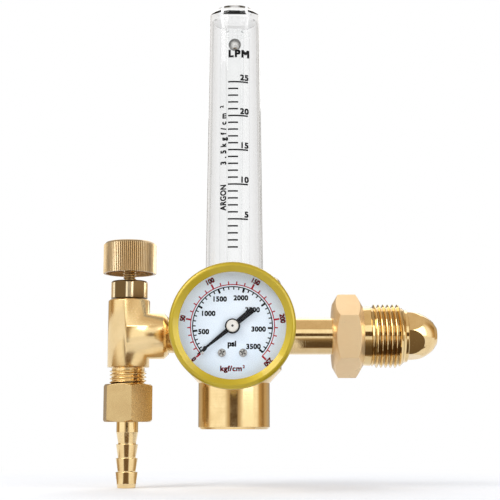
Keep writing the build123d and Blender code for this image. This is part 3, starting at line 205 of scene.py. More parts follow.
def metal(name, color, dull, roughness, origin=(0, 0, 0), axis=Z, marks=2.4, depth=2.5e-6,
          grain=None, edge=0.22, metallic=1.0, mottle=0.16, coat=0.0, shaded_grooves=None, groove_shade_share=0.7,
          gloss_below=None, pip=0.0, painted_rim_shade=None, slot_shade_width=None):
    """A turned metal: lathe marks round the axis, tarnish in patches and edges worn brighter.

    grain: the direction of drawn bar, where flats were left as the bar came
    edge: the radius of the worn edges
    shaded_grooves: the radius where grooves start, and two between which the painted shade in them
    goes from dark to none
    gloss_below: a height under which the metal is polished
    pip: the radius of a dark centre mark
    painted_rim_shade: the stops of how a mirror ball is painted darker towards its outline, a
    painted reflection of dark surroundings
    slot_shade_width: how wide a slot may be and still be painted dark as painted shade, found by
    ambient occlusion
    """
    recipe = new_material(name)
    spot = recipe.place(origin)
    out = recipe.out_from(spot, axis)
    if grain is None:
        tool_path = recipe.math("ADD", recipe.parts(spot)[axis], out)
        fine = recipe.line_noise(tool_path, marks)
    else:
        drawn = recipe.stretched(spot, grain, GRAIN_ALONG, GRAIN_ACROSS)
        fine = recipe.noise(drawn, 1.0, 4.0, 0.65)
    patches = recipe.noise(spot, PATCH_SCALE, 4.0, 0.6, 0.4)
    specks = recipe.noise(spot, SPECK_SCALE, 2.0, 0.7)

    rounded = None
    tone = recipe.mix(recipe.spread(patches, 0.0, mottle * PATCH_SHADE), color, dull)
    tone = recipe.mix(recipe.spread(fine, 0.0, MARK_SHADE), tone, dull)
    if edge:
        rounded = recipe.add("Bevel", {"Radius": edge * MM}, samples=SHADER_SAMPLES).outputs[0]
        true_normal = recipe.add("NewGeometry").outputs["Normal"]
        flatness = recipe.vector("DOT_PRODUCT", rounded, true_normal).outputs[1]
        bright = tuple(min(1.0, c * 1.06 + 0.03) for c in color)
        tone = recipe.mix(recipe.ramp(flatness, WORN_EDGE), tone, bright)
    if pip:
        tone = recipe.mix(recipe.math("LESS_THAN", out, pip), tone, PIP_AND_SHADE_DARK)
    # painted shade: grooves inside a radius are painted darker
    if shaded_grooves:
        start, dark, unshaded = shaded_grooves
        deep = recipe.between(out, dark, unshaded, groove_shade_share, 0.0)
        deep = recipe.math("MULTIPLY", deep, recipe.math("GREATER_THAN", out, start))
        tone = recipe.mix(deep, tone, tuple(GROOVE_SHADE * c for c in dull))
    # painted shade: slots and recesses darkened by ambient occlusion
    if slot_shade_width:
        openness = recipe.add(
            "AmbientOcclusion", {"Distance": slot_shade_width * MM}, samples=SHADER_SAMPLES, only_local=True,
        ).outputs["AO"]
        tone = recipe.mix(recipe.ramp(openness, SLOT_SHADE), tone, PIP_AND_SHADE_DARK)
    # painted reflection: the ball darkened towards its outline
    if painted_rim_shade:
        tone = recipe.mix(1.0, tone, recipe.seen_aslant(painted_rim_shade), "MULTIPLY")

    rough = recipe.math("ADD", recipe.spread(patches, roughness - 0.05, roughness + 0.07),
                        recipe.spread(fine, -0.03, 0.05))
    rough = recipe.math("ADD", rough, recipe.spread(specks, -0.02, 0.03), clamp=True)
    if gloss_below is not None:
        height = recipe.parts(spot)[Z]
        fade = recipe.between(height, gloss_below, gloss_below + POLISH_FADE, POLISHED_SHARE, 1.0)
        rough = recipe.math("MULTIPLY", rough, fade)
    normal = recipe.bump(fine, depth, rounded)
    normal = recipe.bump(specks, depth * 0.25, normal)
    return recipe.end(recipe.principled({
        "Base Color": tone, "Metallic": metallic, "Roughness": rough, "Normal": normal,
        "Coat Weight": coat, "Coat Roughness": COAT_ROUGHNESS,
    }))


def clear(name, tint, ior, edges, streak_axis=Z):
    """A clear moulding that light passes, with faint flow lines along it. edges are the stops
    of how much light passes, from where it is seen straight on to where it is seen edge on."""
    recipe = new_material(name)
    spot = recipe.place()
    flow = recipe.noise(recipe.stretched(spot, streak_axis, 0.03, 0.5), 1.0, 2.0)
    haze = recipe.noise(spot, 0.3, 3.0)
    tone = recipe.mix(recipe.spread(haze, 0.0, 1.0), tint, tuple(c * 0.985 for c in tint))
    tone = recipe.mix(1.0, tone, recipe.seen_aslant(edges), "MULTIPLY")
    glass = recipe.principled({
        "Base Color": tone, "Roughness": recipe.spread(haze, 0.0, 0.02), "IOR": ior,
        "Transmission Weight": 1.0, "Normal": recipe.bump(flow, 2e-5),
    })
    let_through = recipe.add("BsdfTransparent", {"Color": (0.97, 0.975, 0.98, 1)}).outputs[0]
    path = recipe.add("LightPath").outputs
    passing = recipe.math("MAXIMUM", path["Is Shadow Ray"], path["Is Diffuse Ray"])
    return recipe.end(recipe.either(passing, glass, let_through))


def moulded(name, color, other, roughness, scale=0.5, specular=0.5):
    """A rubber, plastic or ink: a fine uneven skin and a slow change of tone."""
    recipe = new_material(name)
    spot = recipe.place()
    slow = recipe.noise(spot, scale * 0.4, 3.0)
    skin = recipe.noise(spot, scale * 12, 3.0, 0.7)
    return recipe.end(recipe.principled({
        "Base Color": recipe.mix(recipe.spread(slow, 0.0, 1.0), color, other),
        "Roughness": recipe.spread(skin, roughness - 0.05, roughness + 0.08),
        "Normal": recipe.bump(skin, 4e-6), "Specular IOR Level": specular,
    }))


def dial_material():
    """White enamel with a cool cast, painted darker and cooler towards the lower edge and paler
    towards the top as painted shade and light, and a fine print grain.
    """
    recipe = new_material("dial_white")
    spot = recipe.place(body_spot)
    height = recipe.between(recipe.parts(spot)[Z], -18.0, 18.0)
    cloud = recipe.noise(spot, 0.09, 3.0)
    # painted light and shade: paler at the top, darker at the bottom
    tone = recipe.mix(height, (0.76, 0.87, 0.98), (0.88, 0.95, 1.0))
    tone = recipe.mix(recipe.spread(cloud, 0.0, 0.35), tone, (0.93, 0.96, 0.99))
    skin = recipe.noise(spot, 7.0, 3.0, 0.6)
    return recipe.end(recipe.principled({
        "Base Color": tone, "Roughness": recipe.spread(skin, 0.35, 0.5),
        "Normal": recipe.bump(skin, 1.5e-6),
    }))


BRASS, BRASS_DULL = (0.90, 0.70, 0.39), (0.68, 0.46, 0.20)
DRAWN, DRAWN_DULL = (0.86, 0.65, 0.38), (0.74, 0.50, 0.26)
CUT_BRASS = (0.84, 0.62, 0.32)
# how the chrome ball is painted darker towards its outline, a painted reflection
BALL_RIM_SHADE = [(0.0, 1.0), (0.12, 0.70), (0.28, 0.34), (0.60, 0.20), (1.0, 0.15)]
TUBE_EDGES = [(0.0, 1.0), (0.015, 1.0), (0.04, 0.955), (0.45, 0.93), (0.72, 0.90), (0.90, 0.62)]
INNER_EDGES = [(0.0, 1.0), (0.3, 0.99), (0.70, 0.975), (0.92, 0.93)]
LENS_EDGES = [(0.0, 1.0), (0.5, 0.99), (0.95, 0.90)]
body_spot = (BODY_X, 0, 0)
valve_spot = (VALVE_X, 0, 0)
relief_spot = (BODY_X, 0, RELIEF_Z)

brass_body = metal("brass_body", BRASS, BRASS_DULL, 0.08, body_spot)
brass_nipple = metal("brass_nipple", BRASS, BRASS_DULL, 0.08, axis=X)
brass_nut = metal(
    "brass_nut", DRAWN, DRAWN_DULL, 0.32, axis=X, grain=X, edge=0.15, mottle=0.08, depth=1e-6,
    metallic=0.6,
)
# painted shade in the roots of the inlet thread
brass_thread = metal(
    "brass_thread", (0.93, 0.72, 0.38), BRASS_DULL, 0.07, axis=X, edge=0, shaded_grooves=(10.9, 11.0, 11.28),
)
brass_valve = metal(
    "brass_valve", (0.88, 0.67, 0.36), BRASS_DULL, 0.19, valve_spot, marks=5.0, depth=4e-6,
    mottle=0.08, gloss_below=-13.2,
)
# painted shade in the roots of the stem thread
brass_stem = metal(
    "brass_stem", BRASS, BRASS_DULL, 0.10, valve_spot, edge=0, shaded_grooves=(1.9, 2.0, 2.4),
)
# painted shade in the grooves between the knob's ribs
brass_knob = metal(
    "brass_knob", (0.88, 0.70, 0.45), BRASS_DULL, 0.16, valve_spot, edge=0, metallic=0.62,
    shaded_grooves=(9.5, 9.85, 10.2), groove_shade_share=0.9,
)
# painted shade and highlight: the packing nut's flats are painted almost black and its turned
# corners left bright
brass_gland = metal(
    "brass_gland", (0.95, 0.80, 0.54), (0.30, 0.15, 0.025), 0.16, valve_spot, edge=0, mottle=0.04,
    metallic=0.74, shaded_grooves=(1.0, 7.36, 7.46), groove_shade_share=0.97,
)
brass_hex = metal(
    "brass_hex", (0.62, 0.45, 0.22), (0.50, 0.33, 0.15), 0.24, valve_spot, grain=Z, edge=0.15,
)
brass_barb = metal("brass_barb", (0.92, 0.73, 0.42), BRASS_DULL, 0.07, valve_spot, edge=0.1)
brass_machined = metal("brass_machined", CUT_BRASS, BRASS_DULL, 0.22, body_spot)
brass_gauge = metal("brass_gauge", CUT_BRASS, BRASS_DULL, 0.22, body_spot, axis=Y, edge=0.08)
brass_relief = metal("brass_relief", BRASS, BRASS_DULL, 0.16, relief_spot, axis=Y)
bronze = metal(
    "sintered_bronze", (0.62, 0.38, 0.18), (0.42, 0.25, 0.11), 0.55, axis=X, marks=6.0,
    depth=1.5e-5,
)
spring = metal(
    "spring_steel", (0.62, 0.62, 0.63), (0.42, 0.41, 0.40), 0.28, body_spot, edge=0.08,
)
# painted shade in the slots of the steel parts, the dial screws among them
steel = metal(
    "bright_steel", (0.66, 0.64, 0.61), (0.36, 0.34, 0.31), 0.18, body_spot, axis=Y, edge=0.08,
    slot_shade_width=0.5,
)
chrome = metal(
    "ball_chrome", (0.92, 0.90, 0.87), (0.80, 0.78, 0.75), 0.05, body_spot, marks=0.6, depth=2e-7,
    mottle=0.05, painted_rim_shade=BALL_RIM_SHADE,
)
gilt_case = metal("gilt_case", (0.86, 0.68, 0.36), (0.72, 0.50, 0.22), 0.22, body_spot, axis=Y)
gilt_bezel = metal(
    "gilt_bezel", (0.47, 0.345, 0.006), (0.42, 0.30, 0.005), 0.36, body_spot, axis=Y, marks=1.2,
    depth=1.5e-6, metallic=0.42, coat=0.5,
)
silver = metal(
    "hub_silver", (0.88, 0.84, 0.77), (0.76, 0.71, 0.62), 0.34, body_spot, axis=Y, edge=0.08,
    metallic=0.35, pip=0.42,
)
rubber = moulded("black_rubber", (0.030, 0.030, 0.032), (0.045, 0.045, 0.047), 0.60)
seat_plastic = moulded("seat_plastic", (0.80, 0.78, 0.72), (0.72, 0.70, 0.64), 0.40)
pointer_black = moulded(
    "pointer_black", (0.004, 0.004, 0.005), (0.009, 0.009, 0.011), 0.38, 1.0, specular=0.12,
)
print_black = moulded(
    "print_black", (0.003, 0.003, 0.004), (0.008, 0.008, 0.010), 0.5, 1.0, specular=0.1,
)
print_red = moulded(
    "print_red", (0.52, 0.004, 0.020), (0.46, 0.006, 0.025), 0.5, 1.0, specular=0.1,
)
tube_clear = clear("tube_clear", (1.0, 1.0, 1.0), 1.34, TUBE_EDGES)
inner_clear = clear("inner_clear", (0.995, 1.0, 1.0), 1.06, INNER_EDGES)
lens_clear = clear("lens_clear", (0.99, 0.995, 1.0), 1.22, LENS_EDGES, X)
dial_white = dial_material()

finishes = {
    brass_body: ["main_body", "bonnet"],
    brass_nipple: ["inlet_nipple"],
    brass_nut: ["inlet_nut"],
    brass_valve: ["valve_body"],
    brass_stem: ["valve_stem"],
    brass_knob: ["valve_knob"],
    brass_gland: ["packing_nut"],
    brass_hex: ["outlet_nut"],
    brass_barb: ["hose_barb"],
    brass_machined: ["preset_plug", "piston", "seat_holder"],
    brass_gauge: [
        "gauge_socket", "dial_posts", "movement_back_plate", "movement_front_plate",
        "movement_pillars", "sector_gear", "bourdon_tube", "bourdon_tip",
    ],
    brass_relief: ["relief_body", "relief_cap"],
    bronze: ["inlet_filter"],
    spring: ["adjusting_spring", "poppet_spring", "relief_spring", "hairspring"],
    steel: ["pinion_arbor", "link", "stop_pin", "dial_screws", "knob_screw", "poppet", "needle"],
    chrome: ["float_ball"],
    gilt_case: ["gauge_case"],
    gilt_bezel: ["gauge_bezel"],
    silver: ["pointer_hub"],
    rubber: ["piston_seal", "cover_gasket", "tube_gasket", "packing_ring", "relief_disc"],
    seat_plastic: ["valve_seat"],
    pointer_black: ["pointer"],
    tube_clear: ["outer_tube"],
    inner_clear: ["metering_tube", "float_stop"],
    lens_clear: ["gauge_lens"],
    dial_white: ["dial_plate"],
}
for finish, names in finishes.items():
    for name in names:
        for slot in nodes[name].material_slots:
            slot.material = finish


# ---------------------------------------------------------------- mesh helpers

MERGE = 2e-7


def close_up(work, mesh):
    """Merge doubled points, drop slivers, turn the faces outwards and write the mesh."""
    bmesh.ops.remove_doubles(work, verts=work.verts, dist=MERGE)
    bmesh.ops.dissolve_degenerate(work, edges=work.edges, dist=MERGE)
    bmesh.ops.recalc_face_normals(work, faces=work.faces)
    work.to_mesh(mesh)
    work.free()


def show(name, mesh, sharp):
    """The mesh as an object, shaded smooth but for edges sharper than that."""
    mesh.shade_smooth()
    if sharp:
        mesh.set_sharp_from_angle(angle=radians(sharp))
    piece = bpy.data.objects.new(name, mesh)
    scene.collection.objects.link(piece)
    return piece


def mesh_piece(name, points, faces, material, sharp=35):
    """An object from points in millimetres."""
    mesh = bpy.data.meshes.new(name)
    mesh.from_pydata([Vector(point) * MM for point in points], [], faces)
    work = bmesh.new()
    work.from_mesh(mesh)
    close_up(work, mesh)
    mesh.materials.append(material)
    return show(name, mesh, sharp)


def grid_faces(rows, columns):
    """Quads between rows of points, each row having columns + 1 of them."""
    faces = []
    for row in range(rows - 1):
        for column in range(columns):
            a = row * (columns + 1) + column
            b = a + columns + 1
            faces.append((a, a + 1, b + 1, b))
    return faces


def around_x(along, radius, angle):
    return (along, radius * cos(radians(angle)), radius * sin(radians(angle)))


def around_valve(along, radius, angle):
    return (VALVE_X + radius * cos(radians(angle)), radius * sin(radians(angle)), along)


def swept(place, rows, columns):
    """Points of a surface round an axis. Each row gives (along, radius) for an angle."""
    points = []
    for row in rows:
        for column in range(columns + 1):
            angle = 360 * column / columns
            along, radius = row(angle)
            points.append(place(along, radius, angle))
    return points, grid_faces(len(rows), columns)


def ring(along, radius):
    return lambda angle: (along, radius)


def rings(*corners):
    return [ring(along, radius) for along, radius in corners]


def hexagon(flats, corner):
    """The radius of a hexagon bar at an angle; corner is the angle of one corner."""
    return lambda angle: flats / 2 / cos(radians((angle - corner) % 60 - 30))


# one turn of a thread: the share of the pitch, and of the height between core and crest
THREAD_PROFILE = [
    (0.0, 0.0), (0.10, 0.04), (0.42, 0.96), (0.50, 1.0), (0.58, 0.96), (0.90, 0.04),
]


def thread_rows(start, end, pitch, major, minor, cap):
    """Rows of a single-start thread between two places on an axis. cap(along) is the radius
    that the thread stays under."""
    rows = []
    for turn in range(-1, ceil((end - start) / pitch) + 1):
        for share, height in THREAD_PROFILE:
            def row(angle, place=turn + share, height=height):
                along = start + pitch * (place + angle / 360)
                radius = minor + (major - minor) * height
                if along <= start:
                    return start, cap(start)
                if along >= end:
                    return end, cap(end)
                return along, min(radius, cap(along))
            rows.append(row)
    return rows


def join(parts):
    """One list of points and faces from several."""
    points, faces = [], []
    for more_points, more_faces in parts:
        base = len(points)
        points += more_points
        faces += [tuple(i + base for i in face) for face in more_faces]
    return points, faces


# ---------------------------------------------------------------- inlet nut with its thread

NUT_START, NUT_HEX_END, NUT_NECK_END, NUT_FACE = -19.9, -8.3, -5.3, 8.75
NUT_FLATS, NUT_CORNER = 28.0, 35
NUT_BORE, NUT_BACK, NUT_FRONT = 7.18, 12.5, 11.5
NECK_FOOT, NECK_SWELL, NECK_END = 11.3, 11.5, 11.1
INLET_THREAD_END, INLET_PITCH, INLET_CREST, INLET_CORE = 7.6, 1.814, 12.25, 11.0
INLET_LIP = 10.1
LEAD_IN, RUN_OUT = 0.9, 0.93
NUT_COLUMNS = 144
nut_hex = hexagon(NUT_FLATS, NUT_CORNER)
slope = tan(radians(30))


def inlet_cap(along):
    """The thread rises out of the neck and runs down to the lip."""
    rising = NECK_END + (along - NUT_NECK_END) * LEAD_IN
    return min(rising, INLET_CREST, INLET_LIP + (INLET_THREAD_END - along) * RUN_OUT)


nut_rows = [
    ring(NUT_HEX_END, NUT_BORE),
    ring(NUT_START, NUT_BORE),
    ring(NUT_START, NUT_BACK),
    lambda a: (NUT_START + (nut_hex(a) - NUT_BACK) * slope, nut_hex(a)),
    lambda a: (NUT_HEX_END - (nut_hex(a) - NUT_FRONT) * slope, nut_hex(a)),
    ring(NUT_HEX_END, NUT_FRONT),
    ring(NUT_HEX_END, NUT_BORE),
]
inlet_nut_detail = mesh_piece(
    "inlet_nut_detail", *swept(around_x, nut_rows, NUT_COLUMNS), brass_nut)
thread_parts = [
    rings((NUT_HEX_END, NUT_BORE), (NUT_HEX_END, NECK_FOOT), (NUT_NECK_END - 0.35, NECK_SWELL),
          (NUT_NECK_END, NECK_END)),
    thread_rows(NUT_NECK_END, INLET_THREAD_END, INLET_PITCH, INLET_CREST, INLET_CORE, inlet_cap),
    rings((INLET_THREAD_END, INLET_LIP), (NUT_FACE - 0.2, INLET_LIP), (NUT_FACE, 9.9),
          (NUT_FACE, NUT_BORE), (NUT_HEX_END, NUT_BORE)),
]
inlet_thread_detail = mesh_piece(
    "inlet_thread_detail", *join([swept(around_x, rows, NUT_COLUMNS) for rows in thread_parts]),
    brass_thread)
for piece in (inlet_nut_detail, inlet_thread_detail):
    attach(piece, "inlet_nut")
    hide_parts("inlet_nut")


# ---------------------------------------------------------------- outlet and stem threads

SPIGOT_TOP, SPIGOT_END, SPIGOT_RADIUS = -13.5, -25.0, 7.1
SPIGOT_CORE, SPIGOT_NECK, SPIGOT_PITCH = 6.2, 6.9, 1.411
SPIGOT_COLUMNS = 96


def threaded_valve_body():
    """The CAD valve body with its plain spigot cut away and a real thread in its place."""
    mesh = nodes["valve_body"].data.copy()
    mesh.name = "valve_body_detail"
    work = bmesh.new()
    work.from_mesh(mesh)
    plain = []
    for face in work.faces:
        spots = [vert.co / MM for vert in face.verts]
        on_spigot = all(abs(hypot(p.x - VALVE_X, p.y) - SPIGOT_RADIUS) < 0.02 for p in spots)
        inside = all(SPIGOT_END - 0.05 < p.z < SPIGOT_TOP + 0.05 for p in spots)
        if on_spigot and inside:
            plain.append(face)
    bmesh.ops.delete(work, geom=plain, context="FACES")
    rows = thread_rows(
        SPIGOT_END, SPIGOT_TOP, SPIGOT_PITCH, SPIGOT_RADIUS, SPIGOT_CORE,
        lambda along: SPIGOT_RADIUS if along < SPIGOT_TOP else SPIGOT_NECK,
    )
    points, faces = swept(around_valve, rows, SPIGOT_COLUMNS)
    verts = [work.verts.new(Vector(point) * MM) for point in points]
    for face in faces:
        work.faces.new([verts[index] for index in face])
    close_up(work, mesh)
    mesh.materials.clear()
    mesh.materials.append(brass_valve)
    return show("valve_body_detail", mesh, 32)


valve_body_detail = threaded_valve_body()
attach(valve_body_detail, "regulator")
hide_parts("valve_body")

# the valve stem: plain through the packing, a coarse thread between the nut and the knob
STEM_COLUMNS = 64
STEM_CREST, STEM_CORE, STEM_PITCH, STEM_CHAMFERED = 2.5, 2.0, 0.95, 2.3
STEM_FOOT, STEM_THREAD_START, STEM_THREAD_END, STEM_TOP = -1.0, 17.0, 28.0, 35.1
FOOT_BORE, SCREW_BORE = 1.25, 1.35
stem_parts = [
    rings((STEM_FOOT, FOOT_BORE), (STEM_FOOT, STEM_CHAMFERED), (-0.8, STEM_CREST),
          (STEM_THREAD_START, STEM_CREST)),
    thread_rows(STEM_THREAD_START, STEM_THREAD_END, STEM_PITCH, STEM_CREST, STEM_CORE,
                lambda along: STEM_CREST),
    rings((STEM_THREAD_END, STEM_CREST), (34.9, STEM_CREST), (STEM_TOP, STEM_CHAMFERED),
          (STEM_TOP, SCREW_BORE), (29.4, SCREW_BORE), (28.8, 0.0)),
]
valve_stem_detail = mesh_piece(
    "valve_stem_detail", *join([swept(around_valve, rows, STEM_COLUMNS) for rows in stem_parts]),
    brass_stem)
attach(valve_stem_detail, "valve_stem")
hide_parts("valve_stem")


# ---------------------------------------------------------------- dial screws

DIAL_FRONT = 43.0
SCREW_X, SCREW_Z = 3.7, -9.3
SCREW_TURNS = [0.5, 1.1]
SLOT_HALF, SLOT_REACH, SLOT_DEPTH, SLOT_FLOOR = 0.20, 1.0, 0.45, 0.3
DOME_STEPS, HEAD_COLUMNS, SHANK_COLUMNS = 5, 64, 32
# height over the dial and radius
SCREW_DOME = [
    (0.0, 1.30), (0.0, 1.45), (0.28, 1.45), (0.55, 1.28), (0.72, 0.95), (0.80, 0.5), (0.82, 0.0),
]
SCREW_SHANK = [(0.0, 1.3), (0.0, 0.7), (-1.9, 0.7), (-2.0, 0.6), (-2.0, 0.0)]


def screw_head(middle, turn):
    """A domed screw head with a cross slot, seen from the front."""
    fine = []
    for (h0, r0), (h1, r1) in zip(SCREW_DOME, SCREW_DOME[1:]):
        for step in range(DOME_STEPS):
            height = h0 + (h1 - h0) * step / DOME_STEPS
            fine.append((height, r0 + (r1 - r0) * step / DOME_STEPS))
    fine.append(SCREW_DOME[-1])
    points = []
    for height, radius in fine:
        for column in range(HEAD_COLUMNS + 1):
            angle = 2 * pi * column / HEAD_COLUMNS
            u, v = radius * cos(angle), radius * sin(angle)
            p = abs(u * cos(turn) + v * sin(turn))
            q = abs(-u * sin(turn) + v * cos(turn))
            in_slot = min(p, q) < SLOT_HALF and max(p, q) < SLOT_REACH and height > SLOT_FLOOR
            depth = SLOT_DEPTH if in_slot else 0.0
            points.append((BODY_X + middle + u, -(DIAL_FRONT + height - depth), SCREW_Z + v))
    return points, grid_faces(len(fine), HEAD_COLUMNS)


def screw_shank(middle):
    """The closed plain end of a screw, behind its head."""
    points = []
    for height, radius in SCREW_SHANK:
        for column in range(SHANK_COLUMNS + 1):
            angle = 2 * pi * column / SHANK_COLUMNS
            u, v = radius * cos(angle), radius * sin(angle)
            points.append((BODY_X + middle + u, -(DIAL_FRONT + height), SCREW_Z + v))
    return points, grid_faces(len(SCREW_SHANK), SHANK_COLUMNS)


screw_middles = (-SCREW_X, SCREW_X)
screw_parts = [screw_head(middle, turn) for middle, turn in zip(screw_middles, SCREW_TURNS)]
screw_parts += [screw_shank(middle) for middle in screw_middles]
dial_screw_detail = mesh_piece("dial_screw_detail", *join(screw_parts), steel)
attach(dial_screw_detail, "regulator")
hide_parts("dial_screws")


# ---------------------------------------------------------------- print

CAPITAL_SHARE = 0.70


def outline_text(words, height, bold, stretch=1.0, spacing=1.0, align="CENTER"):
    """Flat points and faces of some words whose capitals are that high, standing on the base line.
    bold thickens the strokes by drawing the words again beside themselves."""
    curve = bpy.data.curves.new("words", "FONT")
    curve.body = words
    curve.align_x = align
    curve.size = height / CAPITAL_SHARE
    curve.space_character = spacing
    curve.resolution_u = 4
    holder = bpy.data.objects.new("words", curve)
    scene.collection.objects.link(holder)
    bpy.context.view_layer.update()
    drawn = holder.evaluated_get(bpy.context.evaluated_depsgraph_get())
    mesh = bpy.data.meshes.new_from_object(drawn)
    points = [(vert.co.x * stretch, vert.co.y) for vert in mesh.vertices]
    faces = [tuple(polygon.vertices) for polygon in mesh.polygons]
    bpy.data.objects.remove(holder)
    bpy.data.meshes.remove(mesh)
    bpy.data.curves.remove(curve)
    shifts = [(0, 0), (bold, bold), (-bold, bold), (bold, -bold), (-bold, -bold)]
    return join([([(x + dx, y + dy) for x, y in points], faces) for dx, dy in shifts])


def bar(x0, z0, x1, z1, steps):
    """A flat rectangle, cut along x so that it can follow a curve."""
    points, faces = [], []
    for step in range(steps + 1):
        x = x0 + (x1 - x0) * step / steps
        points += [(x, z0), (x, z1)]
    for step in range(steps):
        a = 2 * step
        faces.append((a, a + 2, a + 3, a + 1))
    return points, faces


def stroke(points, width):
    """A flat band that follows a line of points."""
    left, right = [], []
    for index, (x, z) in enumerate(points):
        before = points[max(index - 1, 0)]
        after = points[min(index + 1, len(points) - 1)]
        dx, dz = after[0] - before[0], after[1] - before[1]
        size = hypot(dx, dz)
        nx, nz = -dz / size * width / 2, dx / size * width / 2
        left.append((x + nx, z + nz))
        right.append((x - nx, z - nz))
    count = len(points)
    faces = [(i, i + 1, count + i + 1, count + i) for i in range(count - 1)]
    return left + right, faces


def polar(radius, angle):
    return radius * cos(radians(angle)), radius * sin(radians(angle))


def arc(radius, start, end, steps=96):
    return [polar(radius, start + (end - start) * i / steps) for i in range(steps + 1)]


def tick(angle, inner, outer, width):
    return stroke([polar(inner, angle), polar(outer, angle)], width)


def moved(flat, x, z, turn=0.0):
    """A flat drawing turned about its origin and moved."""
    points, faces = flat
    c, s = cos(radians(turn)), sin(radians(turn))
    return [(x + px * c - pz * s, z + px * s + pz * c) for px, pz in points], faces


def flat_piece(name, drawings, place, material):
    """A sheet of print: each flat point is laid on its surface by place(x, z)."""
    points, faces = join(drawings)
    return mesh_piece(name, [place(x, z) for x, z in points], faces, material, sharp=0)


PRESSURE_START, PRESSURE_SWEEP = 225.0, 270.0
FULL_PSI, PSI_PER_KGF = 3555.0, 14.2233
FIRST_NUMBER, FIRST_STEP_CUT = 500, 4.5
PSI_STEP, PSI_TOP, KGF_STEP, KGF_TOP = 100, 3500, 10, 250
HALF_NUMBER = 0.8
PRINT_ON_DIAL = 0.02
MINOR_WIDTH = 0.42
# radii: the arc, a mark's plain end, its free end on a long and on a short mark
PSI_ARC, PSI_OUTER, PSI_MAJOR, PSI_MINOR = 14.0, 14.05, 12.4, 12.95
KGF_ARC, KGF_INNER, KGF_MAJOR, KGF_MINOR = 14.75, 14.7, 16.6, 15.9
KGF_NUMBERS = 17.75
PSI_PLACES = {
    500: (-10.15, -1.9), 1000: (-8.6, 4.5), 1500: (-4.6, 9.6), 2000: (2.9, 10.0),
    2500: (7.0, 5.8), 3000: (9.1, -1.0), 3500: (7.3, -7.1),
}


def psi_angle(value):
    """The scale is even from the first number on; its first step is a little shorter."""
    even = PRESSURE_START - PRESSURE_SWEEP * value / FULL_PSI
    return even - FIRST_STEP_CUT * max(0.0, 1 - value / FIRST_NUMBER)


def kgf_angle(value):
    return psi_angle(value * PSI_PER_KGF)


def on_dial(x, z):
    return (BODY_X + x, -(DIAL_FRONT + PRINT_ON_DIAL), z)


black_marks = [stroke(arc(PSI_ARC, psi_angle(0), psi_angle(PSI_TOP)), 0.38)]
for count in range(PSI_TOP // PSI_STEP + 1):
    angle = psi_angle(count * PSI_STEP)
    if count % 5 == 0:
        black_marks.append(tick(angle, PSI_MAJOR, PSI_OUTER, 0.70))
    else:
        black_marks.append(tick(angle, PSI_MINOR, PSI_OUTER, MINOR_WIDTH))
for value, (x, z) in PSI_PLACES.items():
    words = outline_text(str(value), 1.66, 0.11, 1.02, 1.07)
    black_marks.append(moved(words, x, z - HALF_NUMBER))
black_marks.append(moved(outline_text("psi", 1.95, 0.13), -0.2, -7.0))

red_marks = [stroke(arc(KGF_ARC, psi_angle(0), kgf_angle(KGF_TOP)), 0.34)]
for count in range(KGF_TOP // KGF_STEP + 1):
    angle = kgf_angle(count * KGF_STEP)
    if count % 5 == 0:
        red_marks.append(tick(angle, KGF_INNER, KGF_MAJOR, 0.64))
    else:
        red_marks.append(tick(angle, KGF_INNER, KGF_MINOR, MINOR_WIDTH))
for value in range(0, KGF_TOP + 1, 50):
    angle = kgf_angle(value)
    words = moved(outline_text(str(value), 1.65, 0.12, 0.9), 0, -HALF_NUMBER)
    red_marks.append(moved(words, *polar(KGF_NUMBERS, angle), angle - 90))
red_marks.append(moved(outline_text("kgf/cm", 1.75, 0.115, 1.1, 1.06), -0.5, -15.6))
red_marks.append(moved(outline_text("2", 1.0, 0.07), 3.95, -14.6))

dial_print_black = flat_piece("dial_print_black", black_marks, on_dial, print_black)
dial_print_red = flat_piece("dial_print_red", red_marks, on_dial, print_red)
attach(dial_print_black, "regulator")
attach(dial_print_red, "regulator")

TUBE_FOOT, TUBE_TOP = 22.6, 129.3
FOOT_RADIUS, TOP_RADIUS = 11.2, 9.9
# the print stands off the tube so that the flat faces of large letters don't dip into it
PRINT_LIFT = 0.12
FLOW_TOP, FIRST_MARK, LAST_MARK = 25, 33.3, 99.1
MARK_LEFT, MARK_SHORT, MARK_LONG, MARK_HALF = -2.45, 1.5, 5.35, 0.31


def tube_radius(z):
    """The outer tube's outside radius at a height."""
    return FOOT_RADIUS + (TOP_RADIUS - FOOT_RADIUS) * (z - TUBE_FOOT) / (TUBE_TOP - TUBE_FOOT)


def on_tube(x, z):
    """A point printed on the front of the tube, x as it is seen from the front."""
    radius = tube_radius(z) + PRINT_LIFT
    angle = asin(x / radius)
    return (BODY_X + radius * sin(angle), -radius * cos(angle), z)


tube_marks = []
for flow in range(1, FLOW_TOP + 1):
    z = FIRST_MARK + (LAST_MARK - FIRST_MARK) * (flow - 1) / (FLOW_TOP - 1)
    if flow % 5 == 0:
        tube_marks.append(bar(MARK_LEFT, z - MARK_HALF, MARK_LONG, z + MARK_HALF, 10))
        words = outline_text(str(flow), 2.2, 0.15, 1.02, 1.08, "RIGHT")
        tube_marks.append(moved(words, 5.6, z + 0.75))
    else:
        tube_marks.append(bar(MARK_LEFT, z - MARK_HALF, MARK_SHORT, z + MARK_HALF, 5))
tube_marks += [
    moved(outline_text("LPM", 2.8, 0.24, 1.04, 1.22), 1.75, 109.3),
    moved(outline_text("ARGON", 2.15, 0.12, 0.88, 1.08, "LEFT"), -3.2, 47.7, 90),
    moved(outline_text("3.5kgf/cm", 2.1, 0.13, 0.97, 1.82, "LEFT"), -3.2, 65.7, 90),
    moved(outline_text("2", 1.3, 0.09), -4.3, 89.2, 90),
]
tube_print = flat_piece("tube_print", tube_marks, on_tube, print_black)
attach(tube_print, "regulator")


# ---------------------------------------------------------------- floor, light and camera

